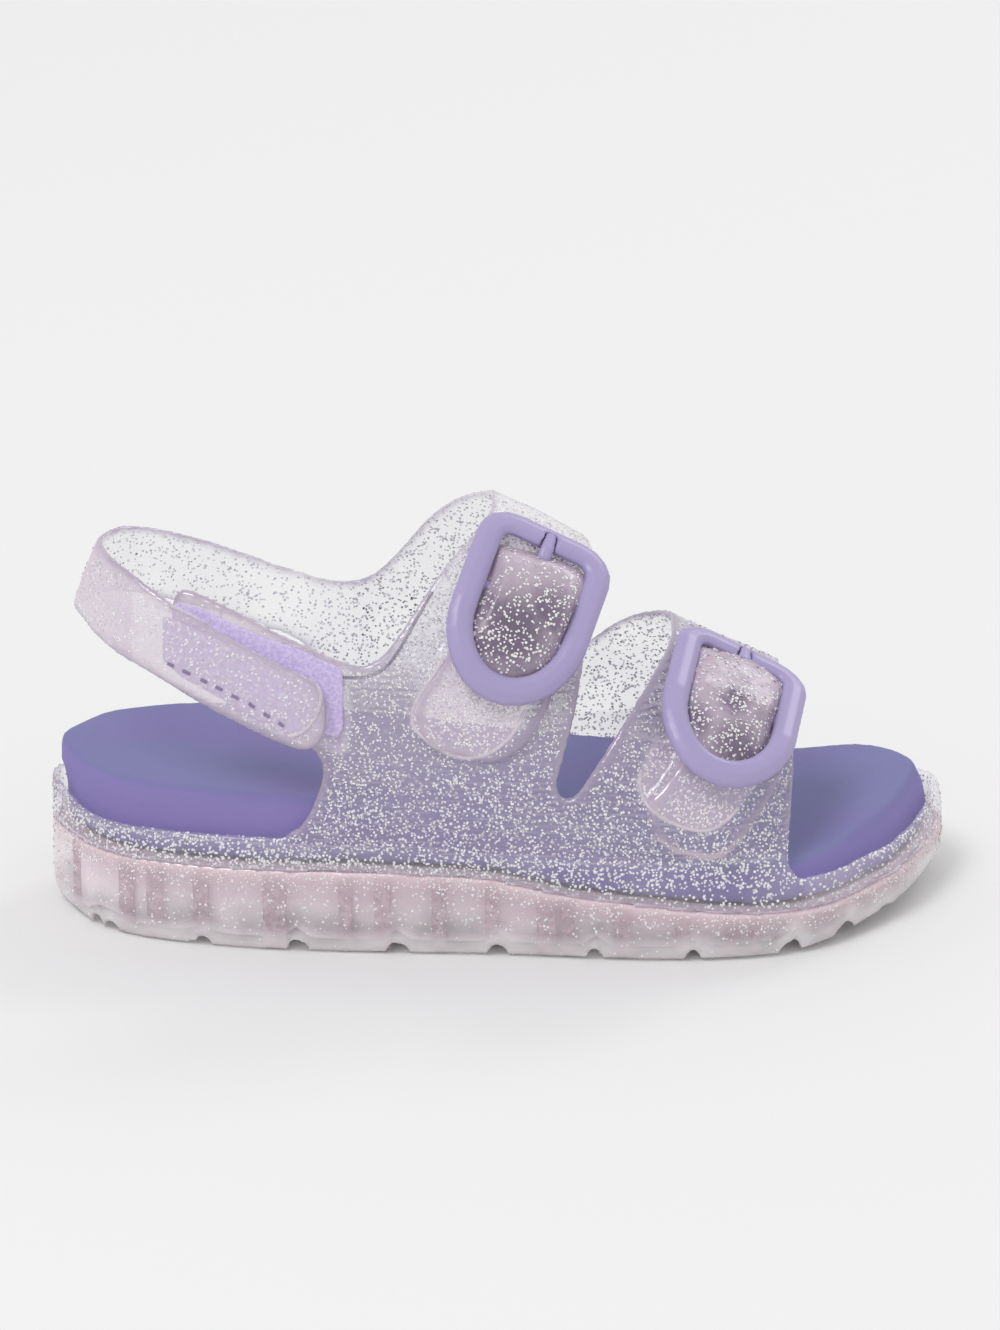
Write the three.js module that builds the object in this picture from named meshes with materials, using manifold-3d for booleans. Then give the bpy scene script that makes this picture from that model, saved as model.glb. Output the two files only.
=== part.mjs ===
import * as THREE from 'three';
import Module from 'manifold-3d';

// Jelly sandal for the right foot, child's size. Millimetres.
// X runs from heel to toe, minus Y is the outer side of the foot, Z rises from the floor.

// Main sizes
const SHOE_LENGTH = 186.8;
const BALL_HALF_WIDTH = 37;
const SOLE_HEIGHT = 18;
const BED_HEIGHT = 35;
const INSTEP_HEIGHT = 84;
const WALL = 2;
const FIT = 0.3;
const BED_SWELL = 1.5;

// Sampling of the surfaces
const SIDE_STEPS = 38;
const LOOP = 2 * SIDE_STEPS;
const LAST_RISES = [0, 4, 9, 15, 22, 30, 38, 46, 54, 62, 70, 78, 85];

// Tread grooves
const TREAD = { first: 0.055, pitch: 0.1095, count: 8, wide: 1.7, deep: 3, toe: [0.881, 0.926] };

// Straps of the two buckles
const STRAP_LIFT = 2.1;
const BEAD = 0.5;

// Plan outline of the sole: shares of the length and of half the ball width
const OUTLINE = [
  { along: 0, outer: -0.014, inner: 0.014 },
  { along: 0.018, outer: 0.24, inner: 0.27 },
  { along: 0.046, outer: 0.47, inner: 0.48 },
  { along: 0.09, outer: 0.645, inner: 0.61 },
  { along: 0.157, outer: 0.765, inner: 0.715 },
  { along: 0.236, outer: 0.848, inner: 0.765 },
  { along: 0.376, outer: 0.905, inner: 0.78 },
  { along: 0.5, outer: 0.93, inner: 0.82 },
  { along: 0.58, outer: 0.97, inner: 0.89 },
  { along: 0.658, outer: 1.0, inner: 0.97 },
  { along: 0.728, outer: 0.993, inner: 1.03 },
  { along: 0.778, outer: 0.96, inner: 1.06 },
  { along: 0.816, outer: 0.91, inner: 1.068 },
  { along: 0.867, outer: 0.77, inner: 1.045 },
  { along: 0.911, outer: 0.555, inner: 0.975 },
  { along: 0.943, outer: 0.38, inner: 0.875 },
  { along: 0.966, outer: 0.17, inner: 0.76 },
  { along: 0.99, outer: -0.13, inner: 0.55 },
  { along: 1, outer: -0.35, inner: 0.35 },
];

// Heights along the shoe: underside and top of the sole as shares of the sole height,
// rim and footbed as shares of the footbed height, the last's crest as a share of the instep height,
// and the crest's shift to the inner side as a share of half the ball width
const HEIGHTS = [
  { along: 0, ground: 0.03, sole: 1, rim: 0.8, bed: 1.06, crest: 1.13, shift: 0 },
  { along: 0.042, ground: 0, sole: 1, rim: 0.725, bed: 1.035, crest: 1.14, shift: 0 },
  { along: 0.122, ground: 0, sole: 1, rim: 0.723, bed: 1.015, crest: 1.155, shift: 0 },
  { along: 0.257, ground: 0, sole: 1, rim: 0.728, bed: 0.985, crest: 1.165, shift: 0.02 },
  { along: 0.338, ground: 0, sole: 1.01, rim: 0.715, bed: 0.94, crest: 1.155, shift: 0.05 },
  { along: 0.419, ground: 0, sole: 0.99, rim: 0.7, bed: 0.885, crest: 1.1, shift: 0.09 },
  { along: 0.5, ground: 0, sole: 0.93, rim: 0.686, bed: 0.815, crest: 1.006, shift: 0.13 },
  { along: 0.56, ground: 0, sole: 0.79, rim: 0.63, bed: 0.757, crest: 0.938, shift: 0.14 },
  { along: 0.608, ground: 0, sole: 0.735, rim: 0.59, bed: 0.714, crest: 0.862, shift: 0.14 },
  { along: 0.646, ground: 0, sole: 0.695, rim: 0.557, bed: 0.686, crest: 0.758, shift: 0.13 },
  { along: 0.705, ground: 0, sole: 0.622, rim: 0.514, bed: 0.623, crest: 0.668, shift: 0.12 },
  { along: 0.754, ground: 0, sole: 0.567, rim: 0.49, bed: 0.589, crest: 0.617, shift: 0.12 },
  { along: 0.817, ground: 0.01, sole: 0.533, rim: 0.477, bed: 0.578, crest: 0.556, shift: 0.14 },
  { along: 0.864, ground: 0.06, sole: 0.533, rim: 0.477, bed: 0.606, crest: 0.52, shift: 0.17 },
  { along: 0.91, ground: 0.14, sole: 0.572, rim: 0.49, bed: 0.665, crest: 0.48, shift: 0.22 },
  { along: 0.978, ground: 0.27, sole: 0.655, rim: 0.555, bed: 0.73, crest: 0.45, shift: 0.3 },
  { along: 1, ground: 0.32, sole: 0.72, rim: 0.625, bed: 0.76, crest: 0.45, shift: 0.34 },
];

// Side of the sole: rise as a share of its local height, inset from the outline in millimetres
const SOLE_SIDE = [
  { rise: 0, inset: 1.7 },
  { rise: 0.07, inset: 0.6 },
  { rise: 0.2, inset: 0 },
  { rise: 0.93, inset: 0 },
  { rise: 1, inset: 0.4 },
];

// Side and dished top of the footbed: rise of the side as a share, inset, drop below the lip,
// and share of the swell over the rim round the open heel
const BED_SIDE = [
  { rise: 0, inset: 0.4, drop: 0, swell: 0 },
  { rise: 0.25, inset: 0, drop: 0, swell: 0 },
  { rise: 0.56, inset: 0, drop: 0, swell: 0 },
  { rise: 0.66, inset: 0, drop: 0, swell: 1 },
  { rise: 0.88, inset: 0.1, drop: 0, swell: 1 },
  { rise: 0.96, inset: 0.5, drop: 0, swell: 1 },
  { rise: 1, inset: 1.5, drop: 0, swell: 0.8 },
  { rise: 1, inset: 2.9, drop: 0.15, swell: 0.6 },
  { rise: 1, inset: 4.4, drop: 0.9, swell: 0.3 },
  { rise: 1, inset: 7.5, drop: 1.6, swell: 0 },
  { rise: 1, inset: 13, drop: 2.6, swell: 0 },
];
const SWELL_END = 0.25;

// Outline of the outer side panel seen from the side: share of the length, millimetres of height
const PANEL_OUTER = [
  { along: 0.267, up: 12 }, { along: 0.267, up: 25.6 }, { along: 0.279, up: 27.2 },
  { along: 0.292, up: 30.6 }, { along: 0.303, up: 35.8 }, { along: 0.307, up: 39.4 },
  { along: 0.303, up: 42.4 }, { along: 0.287, up: 45.6 }, { along: 0.26, up: 49.5 },
  { along: 0.22, up: 54.6 }, { along: 0.178, up: 59 }, { along: 0.157, up: 61.8 },
  { along: 0.147, up: 66 }, { along: 0.144, up: 70.4 }, { along: 0.149, up: 73.6 },
  { along: 0.161, up: 74.8 }, { along: 0.182, up: 73.8 }, { along: 0.22, up: 70.9 },
  { along: 0.264, up: 67.1 }, { along: 0.307, up: 63.7 }, { along: 0.33, up: 62 },
  { along: 0.351, up: 61.2 }, { along: 0.37, up: 62.6 }, { along: 0.392, up: 67.4 },
  { along: 0.412, up: 72.6 }, { along: 0.432, up: 77.2 }, { along: 0.453, up: 81 },
  { along: 0.472, up: 83.4 }, { along: 0.488, up: 85.6 }, { along: 0.5, up: 90 }, { along: 0.502, up: 104 },
];

// Outline of the inner side panel, which runs into the strap round the heel
const PANEL_INNER = [
  { along: 0.267, up: 12 }, { along: 0.267, up: 25.6 }, { along: 0.281, up: 27.6 },
  { along: 0.292, up: 31.5 }, { along: 0.299, up: 36.5 }, { along: 0.294, up: 41.2 },
  { along: 0.277, up: 46 }, { along: 0.25, up: 49.2 }, { along: 0.235, up: 50.4 },
  { along: 0.235, up: 64.4 }, { along: 0.255, up: 64.4 }, { along: 0.29, up: 62.3 },
  { along: 0.325, up: 61.2 }, { along: 0.355, up: 62.4 }, { along: 0.38, up: 67 },
  { along: 0.4, up: 71.8 }, { along: 0.42, up: 76.8 }, { along: 0.443, up: 81 },
  { along: 0.466, up: 83.8 }, { along: 0.486, up: 85.8 }, { along: 0.5, up: 90 }, { along: 0.502, up: 104 },
];

// Gap between the two straps, from the top down its rear edge and up its front edge
const GAP_OUTER = [
  { along: 0.602, up: 104 }, { along: 0.602, up: 78 }, { along: 0.597, up: 66 },
  { along: 0.585, up: 53 }, { along: 0.577, up: 47 }, { along: 0.569, up: 41.5 },
  { along: 0.563, up: 37.6 }, { along: 0.5665, up: 34.9 }, { along: 0.5745, up: 34.6 },
  { along: 0.586, up: 36.4 }, { along: 0.611, up: 43 }, { along: 0.636, up: 49.2 },
  { along: 0.663, up: 54.6 }, { along: 0.681, up: 57.6 }, { along: 0.697, up: 60.6 },
  { along: 0.703, up: 68 }, { along: 0.703, up: 104 },
];
const GAP_INNER = [
  { along: 0.602, up: 104 }, { along: 0.602, up: 78 }, { along: 0.594, up: 66 },
  { along: 0.583, up: 57 }, { along: 0.5765, up: 51 }, { along: 0.578, up: 46.6 },
  { along: 0.586, up: 45 }, { along: 0.598, up: 45.6 }, { along: 0.62, up: 49.4 },
  { along: 0.65, up: 53.8 }, { along: 0.675, up: 57 }, { along: 0.695, up: 60 },
  { along: 0.703, up: 68 }, { along: 0.703, up: 104 },
];

// Front edge of both panels from the crest down to the rim
const PANEL_FRONT = [
  { along: 0.811, up: 104 }, { along: 0.812, up: 48 }, { along: 0.821, up: 42 },
  { along: 0.8215, up: 36 }, { along: 0.817, up: 28 }, { along: 0.815, up: 21.5 },
  { along: 0.8165, up: 18.4 }, { along: 0.823, up: 16.7 }, { along: 0.823, up: 4 },
];

// Strap ends over the outer panel: turn round the last in degrees from the outer rim,
// rear and front edge as shares of the length, lift of the strap over the wall
const STRAP_INSTEP = [
  { turn: 92, rear: 0.503, front: 0.601, lift: -0.7 },
  { turn: 80, rear: 0.497, front: 0.599, lift: -0.2 },
  { turn: 71, rear: 0.486, front: 0.594, lift: 0.3 },
  { turn: 64, rear: 0.474, front: 0.588, lift: 2.6 },
  { turn: 58, rear: 0.468, front: 0.581, lift: 4.6 },
  { turn: 52, rear: 0.461, front: 0.573, lift: 5.2 },
  { turn: 46, rear: 0.453, front: 0.564, lift: 4.6 },
  { turn: 40, rear: 0.444, front: 0.556, lift: 3.1 },
  { turn: 34, rear: 0.427, front: 0.549, lift: 2.1 },
  { turn: 30, rear: 0.412, front: 0.54, lift: 2.1 },
  { turn: 26, rear: 0.407, front: 0.527, lift: 2.1 },
  { turn: 23, rear: 0.413, front: 0.51, lift: 2.1 },
  { turn: 21, rear: 0.43, front: 0.49, lift: 2.1 },
];
const STRAP_FRONT = [
  { turn: 95, rear: 0.705, front: 0.81, lift: -0.7 },
  { turn: 84, rear: 0.704, front: 0.811, lift: -0.2 },
  { turn: 76, rear: 0.702, front: 0.812, lift: 0.5 },
  { turn: 67, rear: 0.7, front: 0.812, lift: 3.6 },
  { turn: 59, rear: 0.699, front: 0.811, lift: 5.6 },
  { turn: 51, rear: 0.697, front: 0.809, lift: 6.1 },
  { turn: 43, rear: 0.694, front: 0.804, lift: 5.2 },
  { turn: 36, rear: 0.688, front: 0.795, lift: 3.3 },
  { turn: 30, rear: 0.672, front: 0.783, lift: 2.1 },
  { turn: 26, rear: 0.659, front: 0.772, lift: 2.1 },
  { turn: 22, rear: 0.657, front: 0.76, lift: 2.1 },
  { turn: 18, rear: 0.668, front: 0.745, lift: 2.1 },
  { turn: 16, rear: 0.688, front: 0.727, lift: 2.1 },
];

// Buckles: frame across and along the strap, bar sizes, and the two places they sit
const BUCKLE = {
  across: 29.6, along: 41, bar: 5.4, thick: 3.4, corner: 5, round: 14, bow: 3.6, pin: 2.6, sunk: -2.1,
};
const BUCKLE_INSTEP = {
  middle: [0.5216, -19.35, 69.1], across: [0.9, -0.021, -0.435], along: [0.315, 0.711, 0.63],
};
const BUCKLE_FRONT = {
  middle: [0.7462, -18.7, 47.4], across: [0.893, -0.033, -0.448], along: [0.205, 0.917, 0.342],
};
const PRONG = { wide: 2.8, thick: 1.7 };

// Heel strap on its way round the last: loop position from the heel's middle, minus on the inner side,
// lower and upper height, stand-off from the last, and how far the top leans in
const HEEL_STRAP = [
  { way: -0.362, low: 47.4, high: 62.4, off: 0.4, lean: 0 },
  { way: -0.342, low: 48.4, high: 64.4, off: 0.4, lean: 0 },
  { way: -0.32, low: 50.4, high: 66.6, off: 0, lean: 0 },
  { way: -0.267, low: 54.6, high: 71.6, off: 0, lean: 0 },
  { way: -0.205, low: 59, high: 75.6, off: 0, lean: 0.2 },
  { way: -0.15, low: 61.4, high: 77.6, off: -0.2, lean: 0.6 },
  { way: -0.1, low: 62.8, high: 78.6, off: -0.5, lean: 1.1 },
  { way: -0.05, low: 63.4, high: 78.9, off: -0.8, lean: 1.3 },
  { way: 0, low: 63.6, high: 78.9, off: -0.9, lean: 1.4 },
  { way: 0.05, low: 63.6, high: 78.8, off: -0.8, lean: 1.3 },
  { way: 0.1, low: 63.2, high: 78.6, off: -0.2, lean: 1.1 },
  { way: 0.15, low: 62.1, high: 78.3, off: 1.5, lean: 0.6 },
  { way: 0.197, low: 60, high: 76.6, off: 3.7, lean: 0.2 },
  { way: 0.235, low: 57.4, high: 73.4, off: 4.5, lean: 0 },
  { way: 0.295, low: 51, high: 67.4, off: 4.5, lean: 0 },
  { way: 0.337, low: 46.4, high: 62.6, off: 4.5, lean: 0 },
  { way: 0.36, low: 44.5, high: 59.9, off: 4.5, lean: 0 },
  { way: 0.373, low: 45.6, high: 57.8, off: 4.5, lean: 0 },
  { way: 0.38, low: 49.2, high: 54.4, off: 4.5, lean: 0 },
];

// Hook and loop pads between the tab and the heel strap
const LOOP_PAD = [
  { along: 0.149, low: 64, high: 70.6 },
  { along: 0.153, low: 62, high: 71.8 },
  { along: 0.18, low: 58, high: 71.2 },
  { along: 0.22, low: 53.6, high: 68 },
  { along: 0.285, low: 48.6, high: 64 },
  { along: 0.326, low: 46.6, high: 60.8 },
  { along: 0.332, low: 48.4, high: 59.4 },
];
const HOOK_PAD = [
  { along: 0.141, low: 60.6, high: 69.4 },
  { along: 0.16, low: 57.6, high: 68.4 },
  { along: 0.22, low: 52.2, high: 64.4 },
  { along: 0.27, low: 47.8, high: 60.4 },
  { along: 0.298, low: 46.6, high: 57.6 },
  { along: 0.308, low: 48.6, high: 55.6 },
];
const PAD_THICK = 0.8;

const wasm = await Module();
wasm.setup();

// Solids from points and triangles, and back
function solid(points, faces) {
  const flat = new Float32Array(points.flatMap((p) => [p.x, p.y, p.z]));
  const made = new wasm.Mesh({ numProp: 3, vertProperties: flat, triVerts: new Uint32Array(faces.flat()) });
  made.merge();
  const body = new wasm.Manifold(made);
  if (body.volume() > 0) return body;
  const turned = faces.map(([a, b, c]) => [a, c, b]);
  const back = new wasm.Mesh({ numProp: 3, vertProperties: flat, triVerts: new Uint32Array(turned.flat()) });
  back.merge();
  return new wasm.Manifold(back);
}

function fromGeometry(geometry) {
  const bare = new THREE.BufferGeometry();
  bare.setAttribute('position', geometry.getAttribute('position'));
  bare.setIndex(geometry.getIndex());
  const places = bare.getAttribute('position');
  const points = [];
  for (let i = 0; i < places.count; i += 1) points.push(new THREE.Vector3().fromBufferAttribute(places, i));
  const order = bare.index ? Array.from(bare.index.array) : points.map((_, i) => i);
  const faces = [];
  for (let i = 0; i < order.length; i += 3) faces.push(order.slice(i, i + 3));
  return solid(points, faces);
}

// Smooth reading of one column of a table
function column(rows, name, key = (row) => row.along) {
  const curve = new THREE.CubicInterpolant(rows.map(key), rows.map((row) => row[name]), 1, [0]);
  return (at) => curve.evaluate(at)[0];
}

const turnOf = (share) => Math.acos(THREE.MathUtils.clamp(1 - 2 * share, -1, 1));
const outerEdge = column(OUTLINE, 'outer', (row) => turnOf(row.along));
const innerEdge = column(OUTLINE, 'inner', (row) => turnOf(row.along));
const groundShare = column(HEIGHTS, 'ground');
const soleShare = column(HEIGHTS, 'sole');
const rimShare = column(HEIGHTS, 'rim');
const bedShare = column(HEIGHTS, 'bed');
const crestShare = column(HEIGHTS, 'crest');
const shiftShare = column(HEIGHTS, 'shift');

const xAt = (share) => (share - 0.5) * SHOE_LENGTH;
const shareAt = (x) => THREE.MathUtils.clamp(x / SHOE_LENGTH + 0.5, 0, 1);
const groundAt = (x) => Math.max(0, groundShare(shareAt(x))) * SOLE_HEIGHT;
const soleAt = (x) => soleShare(shareAt(x)) * SOLE_HEIGHT;
const rimAt = (x) => rimShare(shareAt(x)) * BED_HEIGHT;
const bedAt = (x) => bedShare(shareAt(x)) * BED_HEIGHT;
const crestAt = (x) => crestShare(shareAt(x)) * INSTEP_HEIGHT;
const shiftAt = (x) => shiftShare(shareAt(x)) * BALL_HALF_WIDTH;

// A point of the plan outline: way runs 0 to 1 from heel to toe on the outer side, 1 to 2 back on the inner
function outlineAt(way) {
  const round = ((way % 2) + 2) % 2;
  const turn = Math.PI * (round <= 1 ? round : 2 - round);
  const x = xAt((1 - Math.cos(turn)) / 2);
  const y = round <= 1 ? -outerEdge(turn) : innerEdge(turn);
  return new THREE.Vector2(x, y * BALL_HALF_WIDTH);
}

function insetAt(way, inset) {
  const point = outlineAt(way);
  if (inset === 0) return point;
  const step = outlineAt(way + 0.004).sub(outlineAt(way - 0.004)).normalize();
  return point.add(new THREE.Vector2(-step.y, step.x).multiplyScalar(inset));
}

const wayOf = (side, share) => (side <= 0 ? turnOf(share) / Math.PI : 2 - turnOf(share) / Math.PI);
const WAYS = Array.from({ length: LOOP }, (_, i) => i / SIDE_STEPS);

// The last: elliptic arcs from the rim up to a crest line that ends short of heel and toe
const CREST_RUN = 0.485;
function crestX(x) {
  const half = SHOE_LENGTH / 2;
  const plain = CREST_RUN * half;
  const size = Math.abs(x);
  if (size <= plain) return x;
  const t = (size - plain) / (half - plain);
  return Math.sign(x) * (plain + (half - plain) * (t - (t * t) / 2));
}

function lastPoint(way, turn) {
  const foot = insetAt(way, WALL);
  const middle = crestX(foot.x);
  const base = soleAt(foot.x);
  const rise = Math.sin(turn);
  const reach = Math.cos(turn);
  return new THREE.Vector3(
    middle + (foot.x - middle) * reach,
    shiftAt(foot.x) + (foot.y - shiftAt(foot.x)) * reach,
    base + (crestAt(foot.x) - base) * rise,
  );
}

function onLast(way, turn, off) {
  const point = lastPoint(way, turn);
  const along = lastPoint(way + 0.003, turn).sub(lastPoint(way - 0.003, turn));
  const up = lastPoint(way, turn + 0.01).sub(lastPoint(way, turn - 0.01));
  return point.add(up.cross(along).normalize().multiplyScalar(-off));
}

// Turn round the last, in radians, at which it reaches a height
function turnAt(way, height) {
  const foot = insetAt(way, WALL);
  const base = soleAt(foot.x);
  return Math.asin(THREE.MathUtils.clamp((height - base) / (crestAt(foot.x) - base), -0.3, 1));
}

// The place on one side of the last that shows at a given share of the length and height
function wayTurn(side, share, height) {
  const x = xAt(share);
  let way = wayOf(side, share);
  let turn = 0.3;
  for (let i = 0; i < 30; i += 1) {
    turn = turnAt(way, height);
    const miss = x - lastPoint(way, turn).x;
    const reach = SHOE_LENGTH * Math.max(0.08, Math.sin(Math.PI * (way <= 1 ? way : 2 - way)));
    way += (side <= 0 ? 1 : -1) * (miss / reach) * 0.7;
    if (side <= 0) way = THREE.MathUtils.clamp(way, 0, 1);
    else way = THREE.MathUtils.clamp(way, 1, 2);
  }
  return [way, turn];
}

// Loops of the outline stacked into one closed body, ends closed by strips from side to side
function stack(loops) {
  const points = loops.flat();
  const faces = [];
  for (let k = 0; k + 1 < loops.length; k += 1) {
    for (let i = 0; i < LOOP; i += 1) {
      const [a, b] = [k * LOOP + i, k * LOOP + ((i + 1) % LOOP)];
      faces.push([a, b, b + LOOP], [a, b + LOOP, a + LOOP]);
    }
  }
  const top = (loops.length - 1) * LOOP;
  for (let i = 0; i < SIDE_STEPS; i += 1) {
    const [a, b] = [i, i + 1];
    const [c, d] = [(LOOP - i) % LOOP, LOOP - i - 1];
    if (b !== d) faces.push([a, d, b], [top + a, top + b, top + d]);
    if (a !== c) faces.push([a, c, d], [top + a, top + d, top + c]);
  }
  return solid(points, faces);
}

// Sections with the same number of points joined into one closed body
function loft(sections) {
  const size = sections[0].length;
  const points = sections.flat();
  const faces = [];
  for (let k = 0; k + 1 < sections.length; k += 1) {
    for (let i = 0; i < size; i += 1) {
      const [a, b] = [k * size + i, k * size + ((i + 1) % size)];
      faces.push([a, b, b + size], [a, b + size, a + size]);
    }
  }
  const top = (sections.length - 1) * size;
  for (let i = 1; i + 1 < size; i += 1) faces.push([0, i + 1, i], [top, top + i, top + i + 1]);
  return solid(points, faces);
}

// Outline seen from the side pushed through from one depth to another
function prism(points, from, to) {
  const shape = new THREE.Shape(points);
  const depth = to - from;
  const geometry = new THREE.ExtrudeGeometry(shape, { depth, bevelEnabled: false, steps: 1 });
  geometry.rotateX(Math.PI / 2);
  geometry.translate(0, to, 0);
  geometry.deleteAttribute('normal');
  geometry.deleteAttribute('uv');
  return fromGeometry(geometry);
}

const sideView = (row) => new THREE.Vector2(xAt(row.along), row.up);
function smooth(rows, steps) {
  return new THREE.SplineCurve(rows.map(sideView)).getPoints(steps);
}

// Sole
function soleLoop({ rise, inset }) {
  return WAYS.map((way) => {
    const spot = insetAt(way, inset);
    const low = groundAt(spot.x);
    return new THREE.Vector3(spot.x, spot.y, low + (soleAt(spot.x) - low) * rise);
  });
}

function makeSole() {
  let body = stack(SOLE_SIDE.map(soleLoop));
  const shares = Array.from({ length: TREAD.count }, (_, i) => TREAD.first + i * TREAD.pitch);
  for (const share of [...shares, ...TREAD.toe]) {
    const x = xAt(share);
    const height = groundAt(x) + TREAD.deep;
    const groove = new THREE.BoxGeometry(TREAD.wide, 3 * BALL_HALF_WIDTH, 2 * height);
    groove.translate(x, 0, 0);
    body = body.subtract(fromGeometry(groove));
  }
  return body;
}

// Footbed
function makeBed() {
  const loops = BED_SIDE.map(({ rise, inset, drop, swell }) => WAYS.map((way) => {
    const foot = insetAt(way, WALL);
    const open = 1 - THREE.MathUtils.smoothstep(shareAt(foot.x), SWELL_END / 2, SWELL_END);
    const spot = insetAt(way, WALL + FIT + inset - BED_SWELL * swell * open);
    const base = soleAt(foot.x);
    const low = soleAt(spot.x) + FIT;
    const height = low + (bedAt(foot.x) - low) * rise - drop;
    const turn = Math.asin((height - base) / (crestAt(foot.x) - base));
    const lean = lastPoint(way, turn);
    return new THREE.Vector3(spot.x + lean.x - foot.x, spot.y + lean.y - foot.y, height);
  }));
  return stack(loops);
}

// Buckle frame in its own axes, bowed over the foot
function buckleAxes(place) {
  const across = new THREE.Vector3(...place.across).normalize();
  const along = new THREE.Vector3(...place.along);
  along.addScaledVector(across, -along.dot(across)).normalize();
  const out = across.clone().cross(along);
  const middle = new THREE.Vector3(xAt(place.middle[0]), place.middle[1], place.middle[2]);
  return (a, b, n) => {
    const bow = BUCKLE.bow * (1 - (2 * b / BUCKLE.along) ** 2);
    return middle.clone().addScaledVector(across, a).addScaledVector(along, b)
      .addScaledVector(out, bow + n);
  };
}

function framePath() {
  const half = (BUCKLE.across - BUCKLE.bar) / 2;
  const reach = (BUCKLE.along - BUCKLE.bar) / 2;
  const path = [];
  const arc = (x, y, rx, ry, from, to, steps) => {
    for (let i = 0; i <= steps; i += 1) {
      const angle = THREE.MathUtils.degToRad(from + ((to - from) * i) / steps);
      path.push([x + rx * Math.cos(angle), y + ry * Math.sin(angle)]);
    }
  };
  const { corner, round } = BUCKLE;
  arc(half - corner, reach - corner, corner, corner, 0, 90, 4);
  arc(-half + corner, reach - corner, corner, corner, 90, 180, 4);
  arc(0, -reach + round, half, round, 180, 360, 14);
  return path;
}

function makeFrame(place, grow) {
  const at = buckleAxes(place);
  const path = framePath();
  const sections = path.map(([a, b], i) => {
    const [pa, pb] = path[(i + path.length - 1) % path.length];
    const [na, nb] = path[(i + 1) % path.length];
    const step = new THREE.Vector2(na - pa, nb - pb).normalize();
    const side = new THREE.Vector2(step.y, -step.x);
    return [0, 1, 2, 3, 4, 5, 6, 7].map((k) => {
      const angle = (k * Math.PI) / 4 + Math.PI / 8;
      const out = (BUCKLE.bar / 2 + grow) * Math.cos(angle) / Math.cos(Math.PI / 8);
      const up = (BUCKLE.thick / 2 + grow) * Math.sin(angle) / Math.cos(Math.PI / 8);
      return at(a + side.x * out, b + side.y * out, up);
    });
  });
  const size = 8;
  const points = sections.flat();
  const faces = [];
  for (let k = 0; k < sections.length; k += 1) {
    const next = ((k + 1) % sections.length) * size;
    for (let i = 0; i < size; i += 1) {
      const [a, b] = [k * size + i, k * size + ((i + 1) % size)];
      const [c, d] = [next + i, next + ((i + 1) % size)];
      faces.push([a, b, d], [a, d, c]);
    }
  }
  const ring = solid(points, faces);
  const half = BUCKLE.across / 2 - BUCKLE.bar / 2;
  const pin = loft([-half, 0, half].map((a) => [0, 1, 2, 3, 4, 5].map((k) => {
    const angle = (k * Math.PI) / 3;
    const radius = BUCKLE.pin / 2 + grow;
    return at(a, 2 + radius * Math.cos(angle), BUCKLE.sunk + radius * Math.sin(angle));
  })));
  return ring.add(pin);
}

// Prong: a bent bar from the buckle's middle bar to the notch of its top bar
const PRONG_RUN = [
  { b: 4.2, n: -2.2 }, { b: 8, n: -2.6 }, { b: 11.4, n: -1.8 }, { b: 13.2, n: 0.1 },
  { b: 14.8, n: 0.95 }, { b: 18.8, n: 0.95 },
];
function makeProng(place, grow) {
  const at = buckleAxes(place);
  return loft(PRONG_RUN.map(({ b, n }, i) => {
    const slim = i === PRONG_RUN.length - 1 ? 0.8 : 1;
    const wide = (PRONG.wide / 2) * slim + grow;
    const tall = PRONG.thick / 2 + grow;
    const tilt = i >= 2 && i <= 3 ? 0.7 : 0;
    return [0, 1, 2, 3, 4, 5, 6, 7].map((k) => {
      const angle = (k * Math.PI) / 4 + Math.PI / 8;
      const up = tall * Math.sin(angle) / Math.cos(Math.PI / 8);
      return at(wide * Math.cos(angle) / Math.cos(Math.PI / 8), b - up * tilt, n + up);
    });
  }));
}

// Upper
function lastLoops(off, low) {
  const loops = LAST_RISES.map((deg) => WAYS.map((way) => onLast(way, THREE.MathUtils.degToRad(deg), off)));
  const skirt = loops[0].map((p) => new THREE.Vector3(p.x, p.y, p.z - low));
  return [skirt, ...loops];
}

function makeShell() {
  const outside = stack(lastLoops(WALL, 0.4));
  const inside = stack(lastLoops(0, 8));
  const floor = stack([-30, FIT].map((rise) => WAYS.map((way) => {
    const spot = insetAt(way, -6);
    return new THREE.Vector3(spot.x, spot.y, rise < 0 ? -2 : soleAt(spot.x) + rise);
  })));
  return outside.subtract(inside).subtract(floor);
}

function keepPrisms() {
  const split = 4;
  const wide = 2 * BALL_HALF_WIDTH;
  const front = smooth(PANEL_FRONT, 16);
  const outer = [...smooth(PANEL_OUTER, 58), ...front];
  const inner = [...smooth(PANEL_INNER, 40), ...front];
  const keepOuter = prism(outer, -wide, split).subtract(prism(smooth(GAP_OUTER, 30), -wide, split + 1));
  const keepInner = prism(inner, split, wide).subtract(prism(smooth(GAP_INNER, 26), split - 1, wide));
  const rimTop = Array.from({ length: 41 }, (_, i) => new THREE.Vector2(-96 + i * 4.8, rimAt(-96 + i * 4.8)));
  const rim = prism([new THREE.Vector2(-96, 0), new THREE.Vector2(96, 0), ...rimTop.reverse()], -wide, wide);
  return keepOuter.add(keepInner).add(rim);
}

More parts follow.
